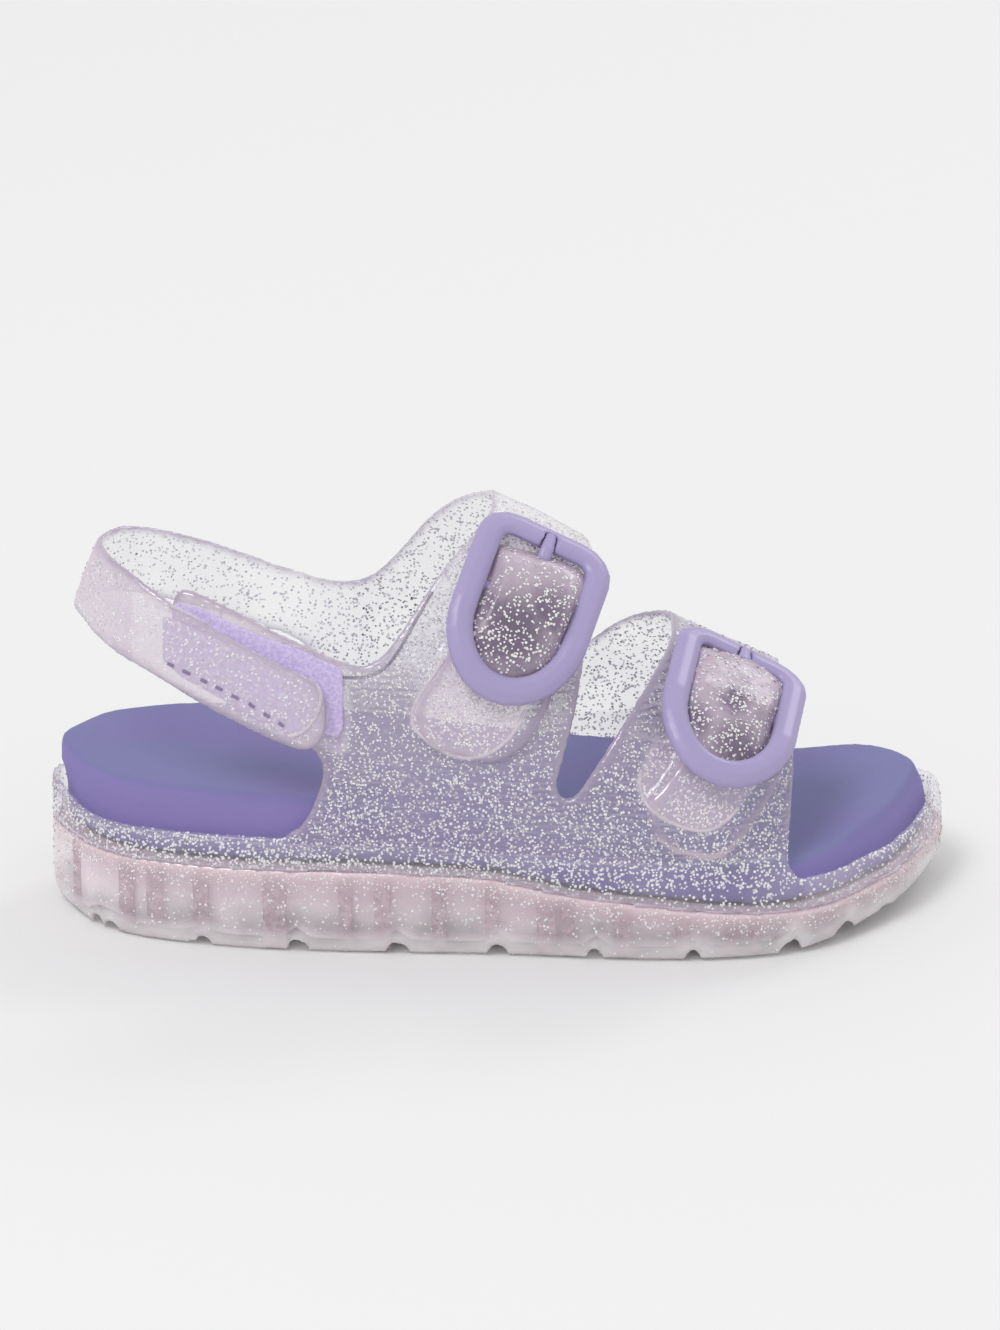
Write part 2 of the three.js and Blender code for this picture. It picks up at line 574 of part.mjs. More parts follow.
function strapOver(rows) {
  return loft(rows.map(({ turn, rear, front, lift }) => {
    const angle = THREE.MathUtils.degToRad(turn);
    const across = [0, 0.05, 0.12, 0.3, 0.5, 0.7, 0.88, 0.95, 1];
    const spots = across.map((t) => {
      const share = rear + (front - rear) * t;
      const side = angle > Math.PI / 2 ? 1 : -1;
      const way = wayOf(side, share);
      return [way, angle > Math.PI / 2 ? Math.PI - angle : angle, t];
    });
    const beads = lift > STRAP_LIFT - 0.2 && lift < STRAP_LIFT + 0.2;
    const top = spots.map(([way, turned, t]) => {
      const edge = t < 0.1 || t > 0.9;
      const bead = beads && edge && t > 0 && t < 1 ? BEAD : 0;
      const round = t === 0 || t === 1 ? -0.4 : 0;
      return onLast(way, turned, WALL + lift + bead + round);
    });
    const under = [8, 4, 0].map((i) => onLast(spots[i][0], spots[i][1], WALL * 0.5));
    return [...top, ...under];
  }));
}

function heelStrap() {
  const sections = [];
  const fine = 3;
  const rows = HEEL_STRAP.map((row) => [row.way, row.low, row.high, row.off, row.lean]);
  const read = new THREE.CubicInterpolant(rows.map((_, i) => i), rows.flat(), 5, new Float32Array(5));
  for (let i = 0; i <= (rows.length - 1) * fine; i += 1) {
    const [way, low, high, off, lean] = read.evaluate(i / fine);
    const thick = i < fine * 2 ? 1.2 : WALL;
    const ring = [
      [0.03, 0], [0.5, 0], [0.97, 0], [1, 0.3], [1, 0.7],
      [0.96, 1], [0.5, 1], [0.04, 1], [0, 0.7], [0, 0.3],
    ];
    sections.push(ring.map(([t, n]) => (
      onLast(way, turnAt(way, low + (high - low) * t), off - lean * t + n * thick)
    )));
  }
  return loft(sections);
}

function pad(rows, off) {
  const fine = 1;
  const places = rows.map((row) => [
    ...wayTurn(-1, row.along, row.low), ...wayTurn(-1, row.along, row.high),
  ]);
  const read = new THREE.CubicInterpolant(rows.map((_, i) => i), places.flat(), 4, new Float32Array(4));
  const sections = [];
  for (let i = 0; i <= (rows.length - 1) * fine; i += 1) {
    const [lowWay, lowTurn, highWay, highTurn] = read.evaluate(i / fine);
    const ring = [[0, 0], [0.33, 0], [0.67, 0], [1, 0], [1, 1], [0.67, 1], [0.33, 1], [0, 1]];
    sections.push(ring.map(([t, n]) => onLast(
      lowWay + (highWay - lowWay) * t, lowTurn + (highTurn - lowTurn) * t, off + n * PAD_THICK,
    )));
  }
  return loft(sections);
}

function makeUpper() {
  let body = makeShell().intersect(keepPrisms());
  body = body.add(strapOver(STRAP_INSTEP)).add(strapOver(STRAP_FRONT));
  body = body.add(heelStrap());
  for (const place of [BUCKLE_INSTEP, BUCKLE_FRONT]) {
    body = body.subtract(makeFrame(place, FIT)).subtract(makeProng(place, FIT));
  }
  return body;
}

const [frameInstep, frameFront] = [BUCKLE_INSTEP, BUCKLE_FRONT].map((place) => (
  makeFrame(place, 0).subtract(makeProng(place, FIT))
));
const [prongInstep, prongFront] = [BUCKLE_INSTEP, BUCKLE_FRONT].map((place) => makeProng(place, 0));

const JELLY = { color: 0xcfc6cf, roughness: 0.18, metalness: 0 };
const SOLE_JELLY = { color: 0xb7a3a9, roughness: 0.22, metalness: 0 };
const FOAM = { color: 0x8478b0, roughness: 0.7, metalness: 0 };
const PLASTIC = { color: 0xa69cc9, roughness: 0.3, metalness: 0 };
const PALE_PAD = { color: 0xb9b4da, roughness: 0.8, metalness: 0 };

const PARTS = [
  ['outsole', makeSole(), SOLE_JELLY],
  ['footbed', makeBed(), FOAM],
  ['upper', makeUpper(), JELLY],
  ['loop_patch', pad(LOOP_PAD, WALL + FIT), PALE_PAD],
  ['hook_patch', pad(HOOK_PAD, WALL + 2 * FIT + PAD_THICK), PALE_PAD],
  ['buckle_instep', frameInstep, PLASTIC],
  ['buckle_front', frameFront, PLASTIC],
  ['prong_instep', prongInstep, PLASTIC],
  ['prong_front', prongFront, PLASTIC],
];

// Scene group, centred over the floor
const group = new THREE.Group();
const whole = new THREE.Box3();
for (const [name, body, look] of PARTS) {
  const found = body.getMesh();
  const places = new Float32Array((found.vertProperties.length / found.numProp) * 3);
  for (let i = 0; i < places.length / 3; i += 1) {
    for (let k = 0; k < 3; k += 1) places[3 * i + k] = found.vertProperties[i * found.numProp + k];
  }
  const geometry = new THREE.BufferGeometry();
  geometry.setAttribute('position', new THREE.BufferAttribute(places, 3));
  geometry.setIndex(new THREE.BufferAttribute(new Uint32Array(found.triVerts), 1));
  geometry.computeBoundingBox();
  whole.union(geometry.boundingBox);
  const mesh = new THREE.Mesh(geometry, new THREE.MeshStandardMaterial(look));
  mesh.name = name;
  group.add(mesh);
}
const middle = whole.getCenter(new THREE.Vector3());
for (const mesh of group.children) mesh.geometry.translate(-middle.x, -middle.y, -whole.min.z);

export default group;
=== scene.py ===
"""Looks of a child's right jelly sandal: clear glitter plastic, lilac buckles and a foam footbed."""
import math

import bpy
import numpy as np
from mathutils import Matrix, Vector
from mathutils.bvhtree import BVHTree


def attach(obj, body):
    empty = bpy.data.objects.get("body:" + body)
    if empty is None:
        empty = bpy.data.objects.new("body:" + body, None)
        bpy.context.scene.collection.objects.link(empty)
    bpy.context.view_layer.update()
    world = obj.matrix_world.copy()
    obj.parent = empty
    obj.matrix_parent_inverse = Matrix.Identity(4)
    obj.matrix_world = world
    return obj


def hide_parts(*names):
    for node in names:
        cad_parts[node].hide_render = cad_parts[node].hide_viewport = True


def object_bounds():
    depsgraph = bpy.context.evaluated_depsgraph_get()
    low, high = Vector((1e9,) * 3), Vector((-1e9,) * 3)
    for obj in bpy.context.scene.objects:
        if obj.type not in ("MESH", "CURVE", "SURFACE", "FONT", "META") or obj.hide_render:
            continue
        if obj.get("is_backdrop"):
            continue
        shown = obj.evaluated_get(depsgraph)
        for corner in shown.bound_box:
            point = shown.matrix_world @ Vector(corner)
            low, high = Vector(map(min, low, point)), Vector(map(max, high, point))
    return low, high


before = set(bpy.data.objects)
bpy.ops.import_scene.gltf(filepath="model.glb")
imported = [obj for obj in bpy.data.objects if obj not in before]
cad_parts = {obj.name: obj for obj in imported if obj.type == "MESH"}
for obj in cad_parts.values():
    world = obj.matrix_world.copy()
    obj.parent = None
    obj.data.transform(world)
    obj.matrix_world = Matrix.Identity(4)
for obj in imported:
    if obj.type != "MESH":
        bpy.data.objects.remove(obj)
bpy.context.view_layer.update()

# Camera
# It stands on the shoe's outer side and looks down a little, as for a shop's side view.
# Places read off the picture are sent back along its rays onto the piece that carries them.
LOOK_DOWN = math.radians(21)
STAND_OFF = 1.2
AIM = Vector((0, 0, 0.043))
FRAME_TALL = 0.275
IMAGE_TALL = 1330
PIXEL = FRAME_TALL / IMAGE_TALL
AIM_PIXEL = (500, 700)
SENSOR_WIDE = 36
back = Vector((0, -math.cos(LOOK_DOWN), math.sin(LOOK_DOWN)))
picture_up = back.cross(Vector((1, 0, 0)))
eye = AIM + back * STAND_OFF
bpy.ops.object.select_all(action="DESELECT")
bpy.ops.object.camera_add(location=eye, rotation=(math.pi / 2 - LOOK_DOWN, 0, 0))
camera = bpy.context.object
camera.name = "side_camera"
camera.data.sensor_width = SENSOR_WIDE
camera.data.lens = SENSOR_WIDE * STAND_OFF / FRAME_TALL
camera.data.shift_y = (AIM_PIXEL[1] - IMAGE_TALL / 2) / IMAGE_TALL
camera.data.clip_start = 0.05
camera.data.clip_end = 20
bpy.context.scene.camera = camera


def surface_of(piece):
    """The piece's faces, ready to be hit by rays."""
    points = [v.co.copy() for v in piece.data.vertices]
    faces = [tuple(p.vertices) for p in piece.data.polygons]
    return BVHTree.FromPolygons(points, faces)


def ray_at(x, y):
    """The camera's ray through a place of the picture."""
    across = Vector((1, 0, 0)) * (x - AIM_PIXEL[0]) * PIXEL
    return (-back * STAND_OFF + across - picture_up * (y - AIM_PIXEL[1]) * PIXEL).normalized()


def seen_at(surface, x, y, lift=0.0):
    """The point of a surface seen at x, y of the picture, raised by lift, and the surface's direction."""
    ray = ray_at(x, y)
    place, normal, _, _ = surface.ray_cast(eye, ray)
    if place is None:
        place, normal, _, _ = surface.find_nearest(eye + ray * STAND_OFF)
    if normal.dot(ray) > 0:
        normal = -normal
    return place + normal * lift, normal


def in_picture(points):
    """Where the picture shows points of the shoe."""
    depth = STAND_OFF - (points - np.array(AIM)) @ np.array(back)
    scale = STAND_OFF / depth / PIXEL
    across = AIM_PIXEL[0] + (points[:, 0] - AIM[0]) * scale
    down = AIM_PIXEL[1] - ((points - np.array(AIM)) @ np.array(picture_up)) * scale
    return np.stack([across, down], axis=1)


def inside(outline, spots):
    """Which spots of the picture lie inside an outline."""
    found = np.zeros(len(spots), bool)
    for (ax, ay), (bx, by) in zip(outline, outline[1:] + outline[:1]):
        if ay == by:
            continue
        crosses = (ay > spots[:, 1]) != (by > spots[:, 1])
        found ^= crosses & (spots[:, 0] < (bx - ax) * (spots[:, 1] - ay) / (by - ay) + ax)
    return found

# Outsole
# One thick moulded sole of cloudy pinkish jelly. Its wall is smooth outside, and upright ribs inside
# the wall show through it. Nine notches are moulded straight across its underside.
SOLE_VOXEL = 0.0008
SOLE_ROUNDS = 25
SOLE_GIVE = 0.00035
SOLE_MIDDLE = 0.003
NOTCH_WIDE = 0.0022
NOTCH_HIGH = 0.0024
NOTCH_NEAR = 0.004
NOTCH_BELOW = 0.002
NOTCHES = (-0.0802, -0.0606, -0.0404, -0.0202, 0.0, 0.0194, 0.0394, 0.0586, 0.0700)
CROWN_LIFT = 0.0005
CROWN_LIFTED = 0.0015
CROWN_DEEP = 0.0025
BAND_DEEP = 0.0028
BAND_FADE = 0.0012
# Height and fade of the sole's lowest zone, which is painted whiter and denser as painted light from the bright
# floor.
FLOOR_LIGHT_HIGH = 0.0060
FLOOR_LIGHT_FADE = 0.003
EDGE_ROUNDS = 12
EDGE_SUNK = 0.0006
SOLE_PINK = (0.88, 0.72, 0.80, 1)
SOLE_BROWN = (0.62, 0.46, 0.50, 1)
# Painted light from the bright floor, on the lowest part of the sole.
SOLE_FLOOR_LIGHT = (0.96, 0.94, 0.95, 1)


def only(piece):
    """Selects one piece and nothing else."""
    if bpy.context.object and bpy.context.object.mode != "OBJECT":
        bpy.ops.object.mode_set(mode="OBJECT")
    bpy.ops.object.select_all(action="DESELECT")
    piece.select_set(True)
    bpy.context.view_layer.objects.active = piece


def averaged(values, pairs, count):
    """The mean of each point's neighbours."""
    links = np.bincount(pairs.ravel(), minlength=count)[:, None]
    total = np.stack(
        [
            np.bincount(pairs[:, 0], values[pairs[:, 1], k], count)
            + np.bincount(pairs[:, 1], values[pairs[:, 0], k], count)
            for k in range(values.shape[1])
        ],
        axis=1,
    )
    return total / np.maximum(links, 1)


def keep(piece, name, values):
    """Keeps a value at each point of a mesh for its material."""
    kept = piece.data.attributes.new(name, "FLOAT", "POINT")
    kept.data.foreach_set("value", np.asarray(values, np.float32))


def point_table(piece, what="co"):
    """The places or directions of a mesh's points, and its pairs of neighbours."""
    mesh = piece.data
    table = np.empty(len(mesh.vertices) * 3)
    mesh.vertices.foreach_get(what, table)
    pairs = np.empty(len(mesh.edges) * 2, dtype=np.int64)
    mesh.edges.foreach_get("vertices", pairs)
    return table.reshape(-1, 3), pairs.reshape(-1, 2)


def eased(piece, rounds, give):
    """Rounds a mesh, no point moving past give, and keeps in `edge` how much a point lies on an edge."""
    mesh = piece.data
    start, pairs = point_table(piece)
    normals, _ = point_table(piece, "normal")
    count = len(start)
    free = start.copy()
    for _ in range(EDGE_ROUNDS):
        free = free + 0.5 * (averaged(free, pairs, count) - free)
    sunk = np.einsum("ij,ij->i", start - free, normals)
    here = start.copy()
    for _ in range(rounds):
        here = here + 0.6 * (averaged(here, pairs, count) - here)
        step = here - start
        far = np.linalg.norm(step, axis=1, keepdims=True)
        here = start + step * np.minimum(1, give / np.maximum(far, 1e-9))
    mesh.vertices.foreach_set("co", here.ravel())
    keep(piece, "edge", np.clip(sunk / EDGE_SUNK, 0, 1))
    mesh.update()


def moulded_copy(node, name, voxel, rounds, give, cutter=None):
    """A rounded copy of a CAD node with small even faces, less what a cutter takes out."""
    piece = bpy.data.objects.new(name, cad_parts[node].data.copy())
    bpy.context.collection.objects.link(piece)
    piece.data.materials.clear()
    only(piece)
    bpy.ops.object.mode_set(mode="EDIT")
    bpy.ops.mesh.select_all(action="SELECT")
    bpy.ops.mesh.remove_doubles(threshold=0.00001)
    bpy.ops.object.mode_set(mode="OBJECT")
    if cutter:
        cut = piece.modifiers.new("cut", "BOOLEAN")
        cut.object = cutter
        cut.operation = "DIFFERENCE"
        cut.solver = "EXACT"
        bpy.ops.object.modifier_apply(modifier="cut")
        bpy.data.objects.remove(cutter)
    even = piece.modifiers.new("even", "REMESH")
    even.mode = "VOXEL"
    even.voxel_size = voxel
    even.adaptivity = 0
    bpy.ops.object.modifier_apply(modifier="even")
    eased(piece, rounds, give)
    bpy.ops.object.shade_smooth()
    return piece


def material(name):
    """A new material, its nodes and links, and its main shader."""
    made = bpy.data.materials.new(name)
    made.use_nodes = True
    nodes, links = made.node_tree.nodes, made.node_tree.links
    return made, nodes, links, nodes["Principled BSDF"]


def cloud_group():
    """The cloudiness of moulded plastic, a soft noise in the object's own space."""
    group = bpy.data.node_groups.new("moulded_cloud", "ShaderNodeTree")
    group.interface.new_socket("Scale", in_out="INPUT", socket_type="NodeSocketFloat")
    group.interface.new_socket("Detail", in_out="INPUT", socket_type="NodeSocketFloat")
    group.interface.new_socket("Roughness", in_out="INPUT", socket_type="NodeSocketFloat")
    group.interface.new_socket("Stretch", in_out="INPUT", socket_type="NodeSocketVector")
    group.interface.new_socket("Cloud", in_out="OUTPUT", socket_type="NodeSocketFloat")
    given = group.nodes.new("NodeGroupInput")
    made = group.nodes.new("NodeGroupOutput")
    place = group.nodes.new("ShaderNodeTexCoord")
    stretched = group.nodes.new("ShaderNodeVectorMath")
    stretched.operation = "MULTIPLY"
    cloud = group.nodes.new("ShaderNodeTexNoise")
    group.links.new(place.outputs["Object"], stretched.inputs[0])
    group.links.new(given.outputs["Stretch"], stretched.inputs[1])
    group.links.new(stretched.outputs["Vector"], cloud.inputs["Vector"])
    group.links.new(given.outputs["Scale"], cloud.inputs["Scale"])
    group.links.new(given.outputs["Detail"], cloud.inputs["Detail"])
    group.links.new(given.outputs["Roughness"], cloud.inputs["Roughness"])
    group.links.new(cloud.outputs["Fac"], made.inputs["Cloud"])
    return group


moulded_cloud = cloud_group()


def noise(nodes, scale, detail=2.0, rough=0.5, stretch=(1, 1, 1)):
    """The shared cloudiness at a material's own scale."""
    cloud = nodes.new("ShaderNodeGroup")
    cloud.node_tree = moulded_cloud
    cloud.inputs["Scale"].default_value = scale
    cloud.inputs["Detail"].default_value = detail
    cloud.inputs["Roughness"].default_value = rough
    cloud.inputs["Stretch"].default_value = stretch
    return cloud.outputs["Cloud"]


def spread(nodes, links, value, low, high, to_low, to_high):
    """A value sent from one range to another, held at its ends."""
    ramp = nodes.new("ShaderNodeMapRange")
    ramp.interpolation_type = "SMOOTHSTEP"
    ramp.inputs["From Min"].default_value = low
    ramp.inputs["From Max"].default_value = high
    ramp.inputs["To Min"].default_value = to_low
    ramp.inputs["To Max"].default_value = to_high
    links.new(value, ramp.inputs["Value"])
    return ramp.outputs["Result"]


def sums(nodes, links, first, second, how="ADD"):
    """Two values put together by a sum, a product or the like."""
    join = nodes.new("ShaderNodeMath")
    join.operation = how
    join.use_clamp = True
    for socket, value in zip(join.inputs, (first, second)):
        if isinstance(value, (int, float)):
            socket.default_value = value
        else:
            links.new(value, socket)
    return join.outputs["Value"]


def blend(nodes, links, amount, first, second):
    """Two colours mixed by an amount."""
    mix = nodes.new("ShaderNodeMix")
    mix.data_type = "RGBA"
    sockets = [mix.inputs[0], mix.inputs[6], mix.inputs[7]]
    for socket, value in zip(sockets, (amount, first, second)):
        if isinstance(value, (tuple, float, int)):
            socket.default_value = value
        else:
            links.new(value, socket)
    return mix.outputs[2]


def part_of_place(nodes, links, axis):
    """One coordinate of the object's own space, in metres."""
    place = nodes.new("ShaderNodeTexCoord")
    split = nodes.new("ShaderNodeSeparateXYZ")
    links.new(place.outputs["Object"], split.inputs["Vector"])
    return split.outputs[axis]


def kept_value(nodes, name):
    """A value that the mesh keeps at its points."""
    kept = nodes.new("ShaderNodeAttribute")
    kept.attribute_name = name
    return kept.outputs["Fac"]


def bumped(nodes, links, shader, height, strength, distance):
    """Small relief on a material."""
    bump = nodes.new("ShaderNodeBump")
    bump.inputs["Strength"].default_value = strength
    bump.inputs["Distance"].default_value = distance
    links.new(height, bump.inputs["Height"])
    links.new(bump.outputs["Normal"], shader.inputs["Normal"])


def behind(nodes):
    """One where a face is seen from its back."""
    return nodes.new("ShaderNodeNewGeometry").outputs["Backfacing"]


def facing(nodes, amount):
    """How much a surface turns away from the eye, for its gloss and density."""
    layer = nodes.new("ShaderNodeLayerWeight")
    layer.inputs["Blend"].default_value = amount
    return layer.outputs["Facing"]


sole_shell, nodes, links, shader = material("cloudy_sole_jelly")
cloud = noise(nodes, 90, 3)
band = kept_value(nodes, "band")
low = kept_value(nodes, "low")
tint = blend(nodes, links, sums(nodes, links, band, 0.6, "MULTIPLY"), SOLE_PINK, SOLE_BROWN)
# Near the ground the sole is painted whiter and denser, as painted light from the bright floor.
tint = blend(nodes, links, sums(nodes, links, low, 0.8, "MULTIPLY"), tint, SOLE_FLOOR_LIGHT)
links.new(tint, shader.inputs["Base Color"])
body = spread(nodes, links, cloud, 0.3, 0.7, 0.16, 0.32)
body = sums(nodes, links, body, sums(nodes, links, low, 0.38, "MULTIPLY"))
body = sums(nodes, links, body, sums(nodes, links, band, 0.2, "MULTIPLY"))
body = sums(nodes, links, body, sums(nodes, links, kept_value(nodes, "crown"), 0.6, "MULTIPLY"))
links.new(body, shader.inputs["Alpha"])
shader.inputs["Roughness"].default_value = 0.2
shader.inputs["IOR"].default_value = 1.8
bumped(nodes, links, shader, noise(nodes, 260, 2), 0.25, 0.0004)

cad_sole = surface_of(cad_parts["outsole"])
bpy.ops.object.select_all(action="DESELECT")
cuts = []
for x in NOTCHES:
    starts = [Vector((x + off, SOLE_MIDDLE, -0.1)) for off in (-NOTCH_NEAR, 0, NOTCH_NEAR)]
    hits = [cad_sole.ray_cast(start, Vector((0, 0, 1)))[0] for start in starts]
    tall = NOTCH_HIGH + min(hit.z for hit in hits if hit) + NOTCH_BELOW
    size = (NOTCH_WIDE, 0.2, tall)
    bpy.ops.mesh.primitive_cube_add(size=1, location=(x, 0, tall / 2 - NOTCH_BELOW), scale=size)
    cuts.append(bpy.context.object)
for piece in cuts:
    piece.select_set(True)
bpy.ops.object.join()
cutter = bpy.context.object
bpy.ops.object.transform_apply(location=True, rotation=True, scale=True)
outsole = moulded_copy("outsole", "outsole_jelly", SOLE_VOXEL, SOLE_ROUNDS, SOLE_GIVE, cutter)
outsole.data.materials.append(sole_shell)
sole_surface = surface_of(outsole)


def reach_at(x, y, start, way):
    """Height of the sole's surface at x, y, met from above or below."""
    hit, _, _, _ = sole_surface.ray_cast(Vector((x, y, start)), Vector((0, 0, way)))
    return hit.z if hit else 0.01


places, _ = point_table(outsole)
stations = np.linspace(-0.088, 0.088, 45)
tops = np.array([reach_at(x, SOLE_MIDDLE + 0.12 * max(0, x - 0.06), 0.1, -1) for x in stations])
bottoms = np.array([reach_at(x, SOLE_MIDDLE, -0.1, 1) for x in stations])
local_top = np.interp(places[:, 0], stations, tops)
ground = np.interp(places[:, 0], stations, bottoms)
normals, _ = point_table(outsole, "normal")
places[:, 2] += CROWN_LIFT * np.clip(normals[:, 2], 0, 1) * (local_top - places[:, 2] < CROWN_LIFTED)
outsole.data.vertices.foreach_set("co", places.ravel())
outsole.data.update()
keep(outsole, "crown", np.clip(normals[:, 2] * 1.5, 0, 1) * (local_top - places[:, 2] < CROWN_DEEP))
keep(outsole, "band", np.clip(1 - (local_top - places[:, 2] - BAND_DEEP) / BAND_FADE, 0, 1))
keep(outsole, "low", np.clip((FLOOR_LIGHT_HIGH - (places[:, 2] - ground)) / FLOOR_LIGHT_FADE, 0, 1))
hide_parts("outsole")
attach(outsole, "root")

# Sole ribs
# Upright ribs inside the sole, moulded with it. They stand behind its wall and stiffen its hollow cells,
# and look denser and pinker than the cloudy cells between them. Place and width along the shoe.
SOLE_RIBS = [
    (-0.0872, 0.0016), (-0.0768, 0.0022), (-0.0708, 0.0026), (-0.0612, 0.0024), (-0.0460, 0.0040),
    (-0.0315, 0.0020), (-0.0239, 0.0026), (-0.0124, 0.0022), (-0.0017, 0.0018), (0.0095, 0.0032),
    (0.0138, 0.0018), (0.0248, 0.0028), (0.0371, 0.0022), (0.0475, 0.0020), (0.0522, 0.0010),
    (0.0668, 0.0022), (0.0740, 0.0016), (0.0815, 0.0018),
]
RIB_INSET = 0.0012
RIB_ROUND = 0.0003
RIB_SPARE = 0.0004
RIB_CLEAR = 0.0008
RIB_LOOK_HIGH = 0.008
CELL_DEPTH = 0.0035
RIB_PINK = (0.42, 0.27, 0.32, 1)
CORE_CLOUD = (0.94, 0.81, 0.88, 1)
CORE_PAINTED_LIGHT = (0.95, 0.93, 0.94, 1)


def wall_at(x, z, side):
    """Where the sole's wall stands at x and height z, on the outer side (-1) or the inner (1)."""
    hit, _, _, _ = sole_surface.ray_cast(Vector((x, side * 0.1, z)), Vector((0, -side, 0)))
    return hit.y if hit else 0.0


def upright_box(x_low, x_high, y_low, y_high, z_low, z_high):
    """A block between two corners."""
    bpy.ops.object.select_all(action="DESELECT")
    bpy.ops.mesh.primitive_cube_add(size=1)
    block = bpy.context.object
    block.scale = (x_high - x_low, y_high - y_low, z_high - z_low)
    block.location = ((x_low + x_high) / 2, (y_low + y_high) / 2, (z_low + z_high) / 2)
    bpy.ops.object.transform_apply(location=True, rotation=True, scale=True)
    return block


def joined(pieces, name):
    """Several meshes made one piece."""
    bpy.ops.object.select_all(action="DESELECT")
    for piece in pieces:
        piece.select_set(True)
    bpy.context.view_layer.objects.active = pieces[0]
    bpy.ops.object.join()
    whole = bpy.context.object
    whole.name = name
    return whole


blocks = []
for x, wide in SOLE_RIBS:
    ends = (x - wide / 2 - RIB_SPARE, x + wide / 2 + RIB_SPARE)
    middle = (wall_at(x, RIB_LOOK_HIGH, -1) + wall_at(x, RIB_LOOK_HIGH, 1)) / 2
    under = reach_at(x, middle, -0.1, 1) + RIB_CLEAR
    over = reach_at(x, middle, 0.1, -1) - RIB_CLEAR
    heights = (under + 0.002, (under + over) / 2, over)
    outer = max(wall_at(v, z, -1) for v in ends for z in heights) + RIB_INSET
    inner = min(wall_at(v, z, 1) for v in ends for z in heights) - RIB_INSET
    for side, start in ((1, outer), (-1, inner)):
        stop = start + side * (CELL_DEPTH + 0.001)
        blocks.append(upright_box(ends[0], ends[1], min(start, stop), max(start, stop), under, over))
sole_ribs = joined(blocks, "sole_ribs")
only(sole_ribs)
round_off = sole_ribs.modifiers.new("round", "BEVEL")
round_off.width = RIB_ROUND
round_off.segments = 2
bpy.ops.object.modifier_apply(modifier="round")
bpy.ops.object.shade_smooth_by_angle(angle=math.radians(50))
rib_jelly, nodes, links, shader = material("dense_sole_jelly")
speck = noise(nodes, 700, 3)
colour = blend(nodes, links, spread(nodes, links, speck, 0.35, 0.65, 0, 0.5), RIB_PINK, CORE_CLOUD)
links.new(colour, shader.inputs["Base Color"])
links.new(spread(nodes, links, speck, 0.3, 0.7, 0.35, 0.6), shader.inputs["Alpha"])
shader.inputs["Roughness"].default_value = 0.4
sole_ribs.data.materials.append(rib_jelly)
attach(sole_ribs, "root")

# Sole core
# The cloudy middle of the sole, moulded with the rest and lying behind its cells. Light is lost in it,
# so nothing is seen through the sole from side to side.
CORE_STEPS = 60
CORE_START = -0.0885
CORE_LONG = 0.1755
CORE_LOOK_HIGH = 0.009
CORE_THIN = 0.003
CORE_UNDER = 0.0018
CORE_OVER = 0.0010
rows = []
for k in range(CORE_STEPS + 1):
    x = CORE_START + CORE_LONG * k / CORE_STEPS
    near, far = wall_at(x, CORE_LOOK_HIGH, -1), wall_at(x, CORE_LOOK_HIGH, 1)
    if far - near < 2 * (CELL_DEPTH + RIB_INSET) + CORE_THIN:
        continue
    near, far = near + CELL_DEPTH + RIB_INSET, far - CELL_DEPTH - RIB_INSET
    middle = (near + far) / 2
    under = reach_at(x, middle, -0.1, 1) + CORE_UNDER
    over = reach_at(x, middle, 0.1, -1) - CORE_OVER
    rows.append((x, near, far, under, over))
points, faces = [], []
for x, near, far, under, over in rows:
    points += [(x, near, under), (x, near, over), (x, far, over), (x, far, under)]
for k in range(len(rows) - 1):
    for i in range(4):
        a, b = 4 * k + i, 4 * k + (i + 1) % 4
        faces.append((a, b, b + 4, a + 4))
faces += [(3, 2, 1, 0), tuple(4 * (len(rows) - 1) + i for i in range(4))]
core_mesh = bpy.data.meshes.new("sole_core")
core_mesh.from_pydata(points, [], faces)
sole_core = bpy.data.objects.new("sole_core", core_mesh)
bpy.context.collection.objects.link(sole_core)
only(sole_core)
bpy.ops.object.mode_set(mode="EDIT")
bpy.ops.mesh.select_all(action="SELECT")
bpy.ops.mesh.normals_make_consistent(inside=False)
bpy.ops.object.mode_set(mode="OBJECT")
keep(sole_core, "rise", [0, 1, 1, 0] * len(rows))
core_jelly, nodes, links, shader = material("sole_core_jelly")
uneven = spread(nodes, links, noise(nodes, 110, 3), 0.3, 0.7, -0.12, 0.12)
rise = sums(nodes, links, kept_value(nodes, "rise"), uneven)
# Towards its bottom the core is painted whiter and thinner, as painted light against the shade under the shoe.
colour = blend(nodes, links, spread(nodes, links, rise, 0.15, 0.7, 0, 1), CORE_PAINTED_LIGHT, CORE_CLOUD)
links.new(colour, shader.inputs["Base Color"])
links.new(spread(nodes, links, rise, 0.0, 0.5, 0.55, 0.97), shader.inputs["Alpha"])
shader.inputs["Roughness"].default_value = 0.6
sole_core.data.materials.append(core_jelly)
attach(sole_core, "root")

# Footbed
# A soft moulded foam insole in matt purple, with a heel cup and a rounded lip, dropped in over the
# sole. A shallow crease runs along the lip's shoulder at the heel and the toe, and is painted darker
# there as painted shade.
BED_VOXEL = 0.0008
BED_ROUNDS = 260
BED_GIVE = 0.0013
BED_PURPLE = (0.205, 0.172, 0.395, 1)
BED_BLUE = (0.185, 0.185, 0.385, 1)
# Painted shade in the crease.
BED_CREASE_SHADE = (0.12, 0.10, 0.26, 1)
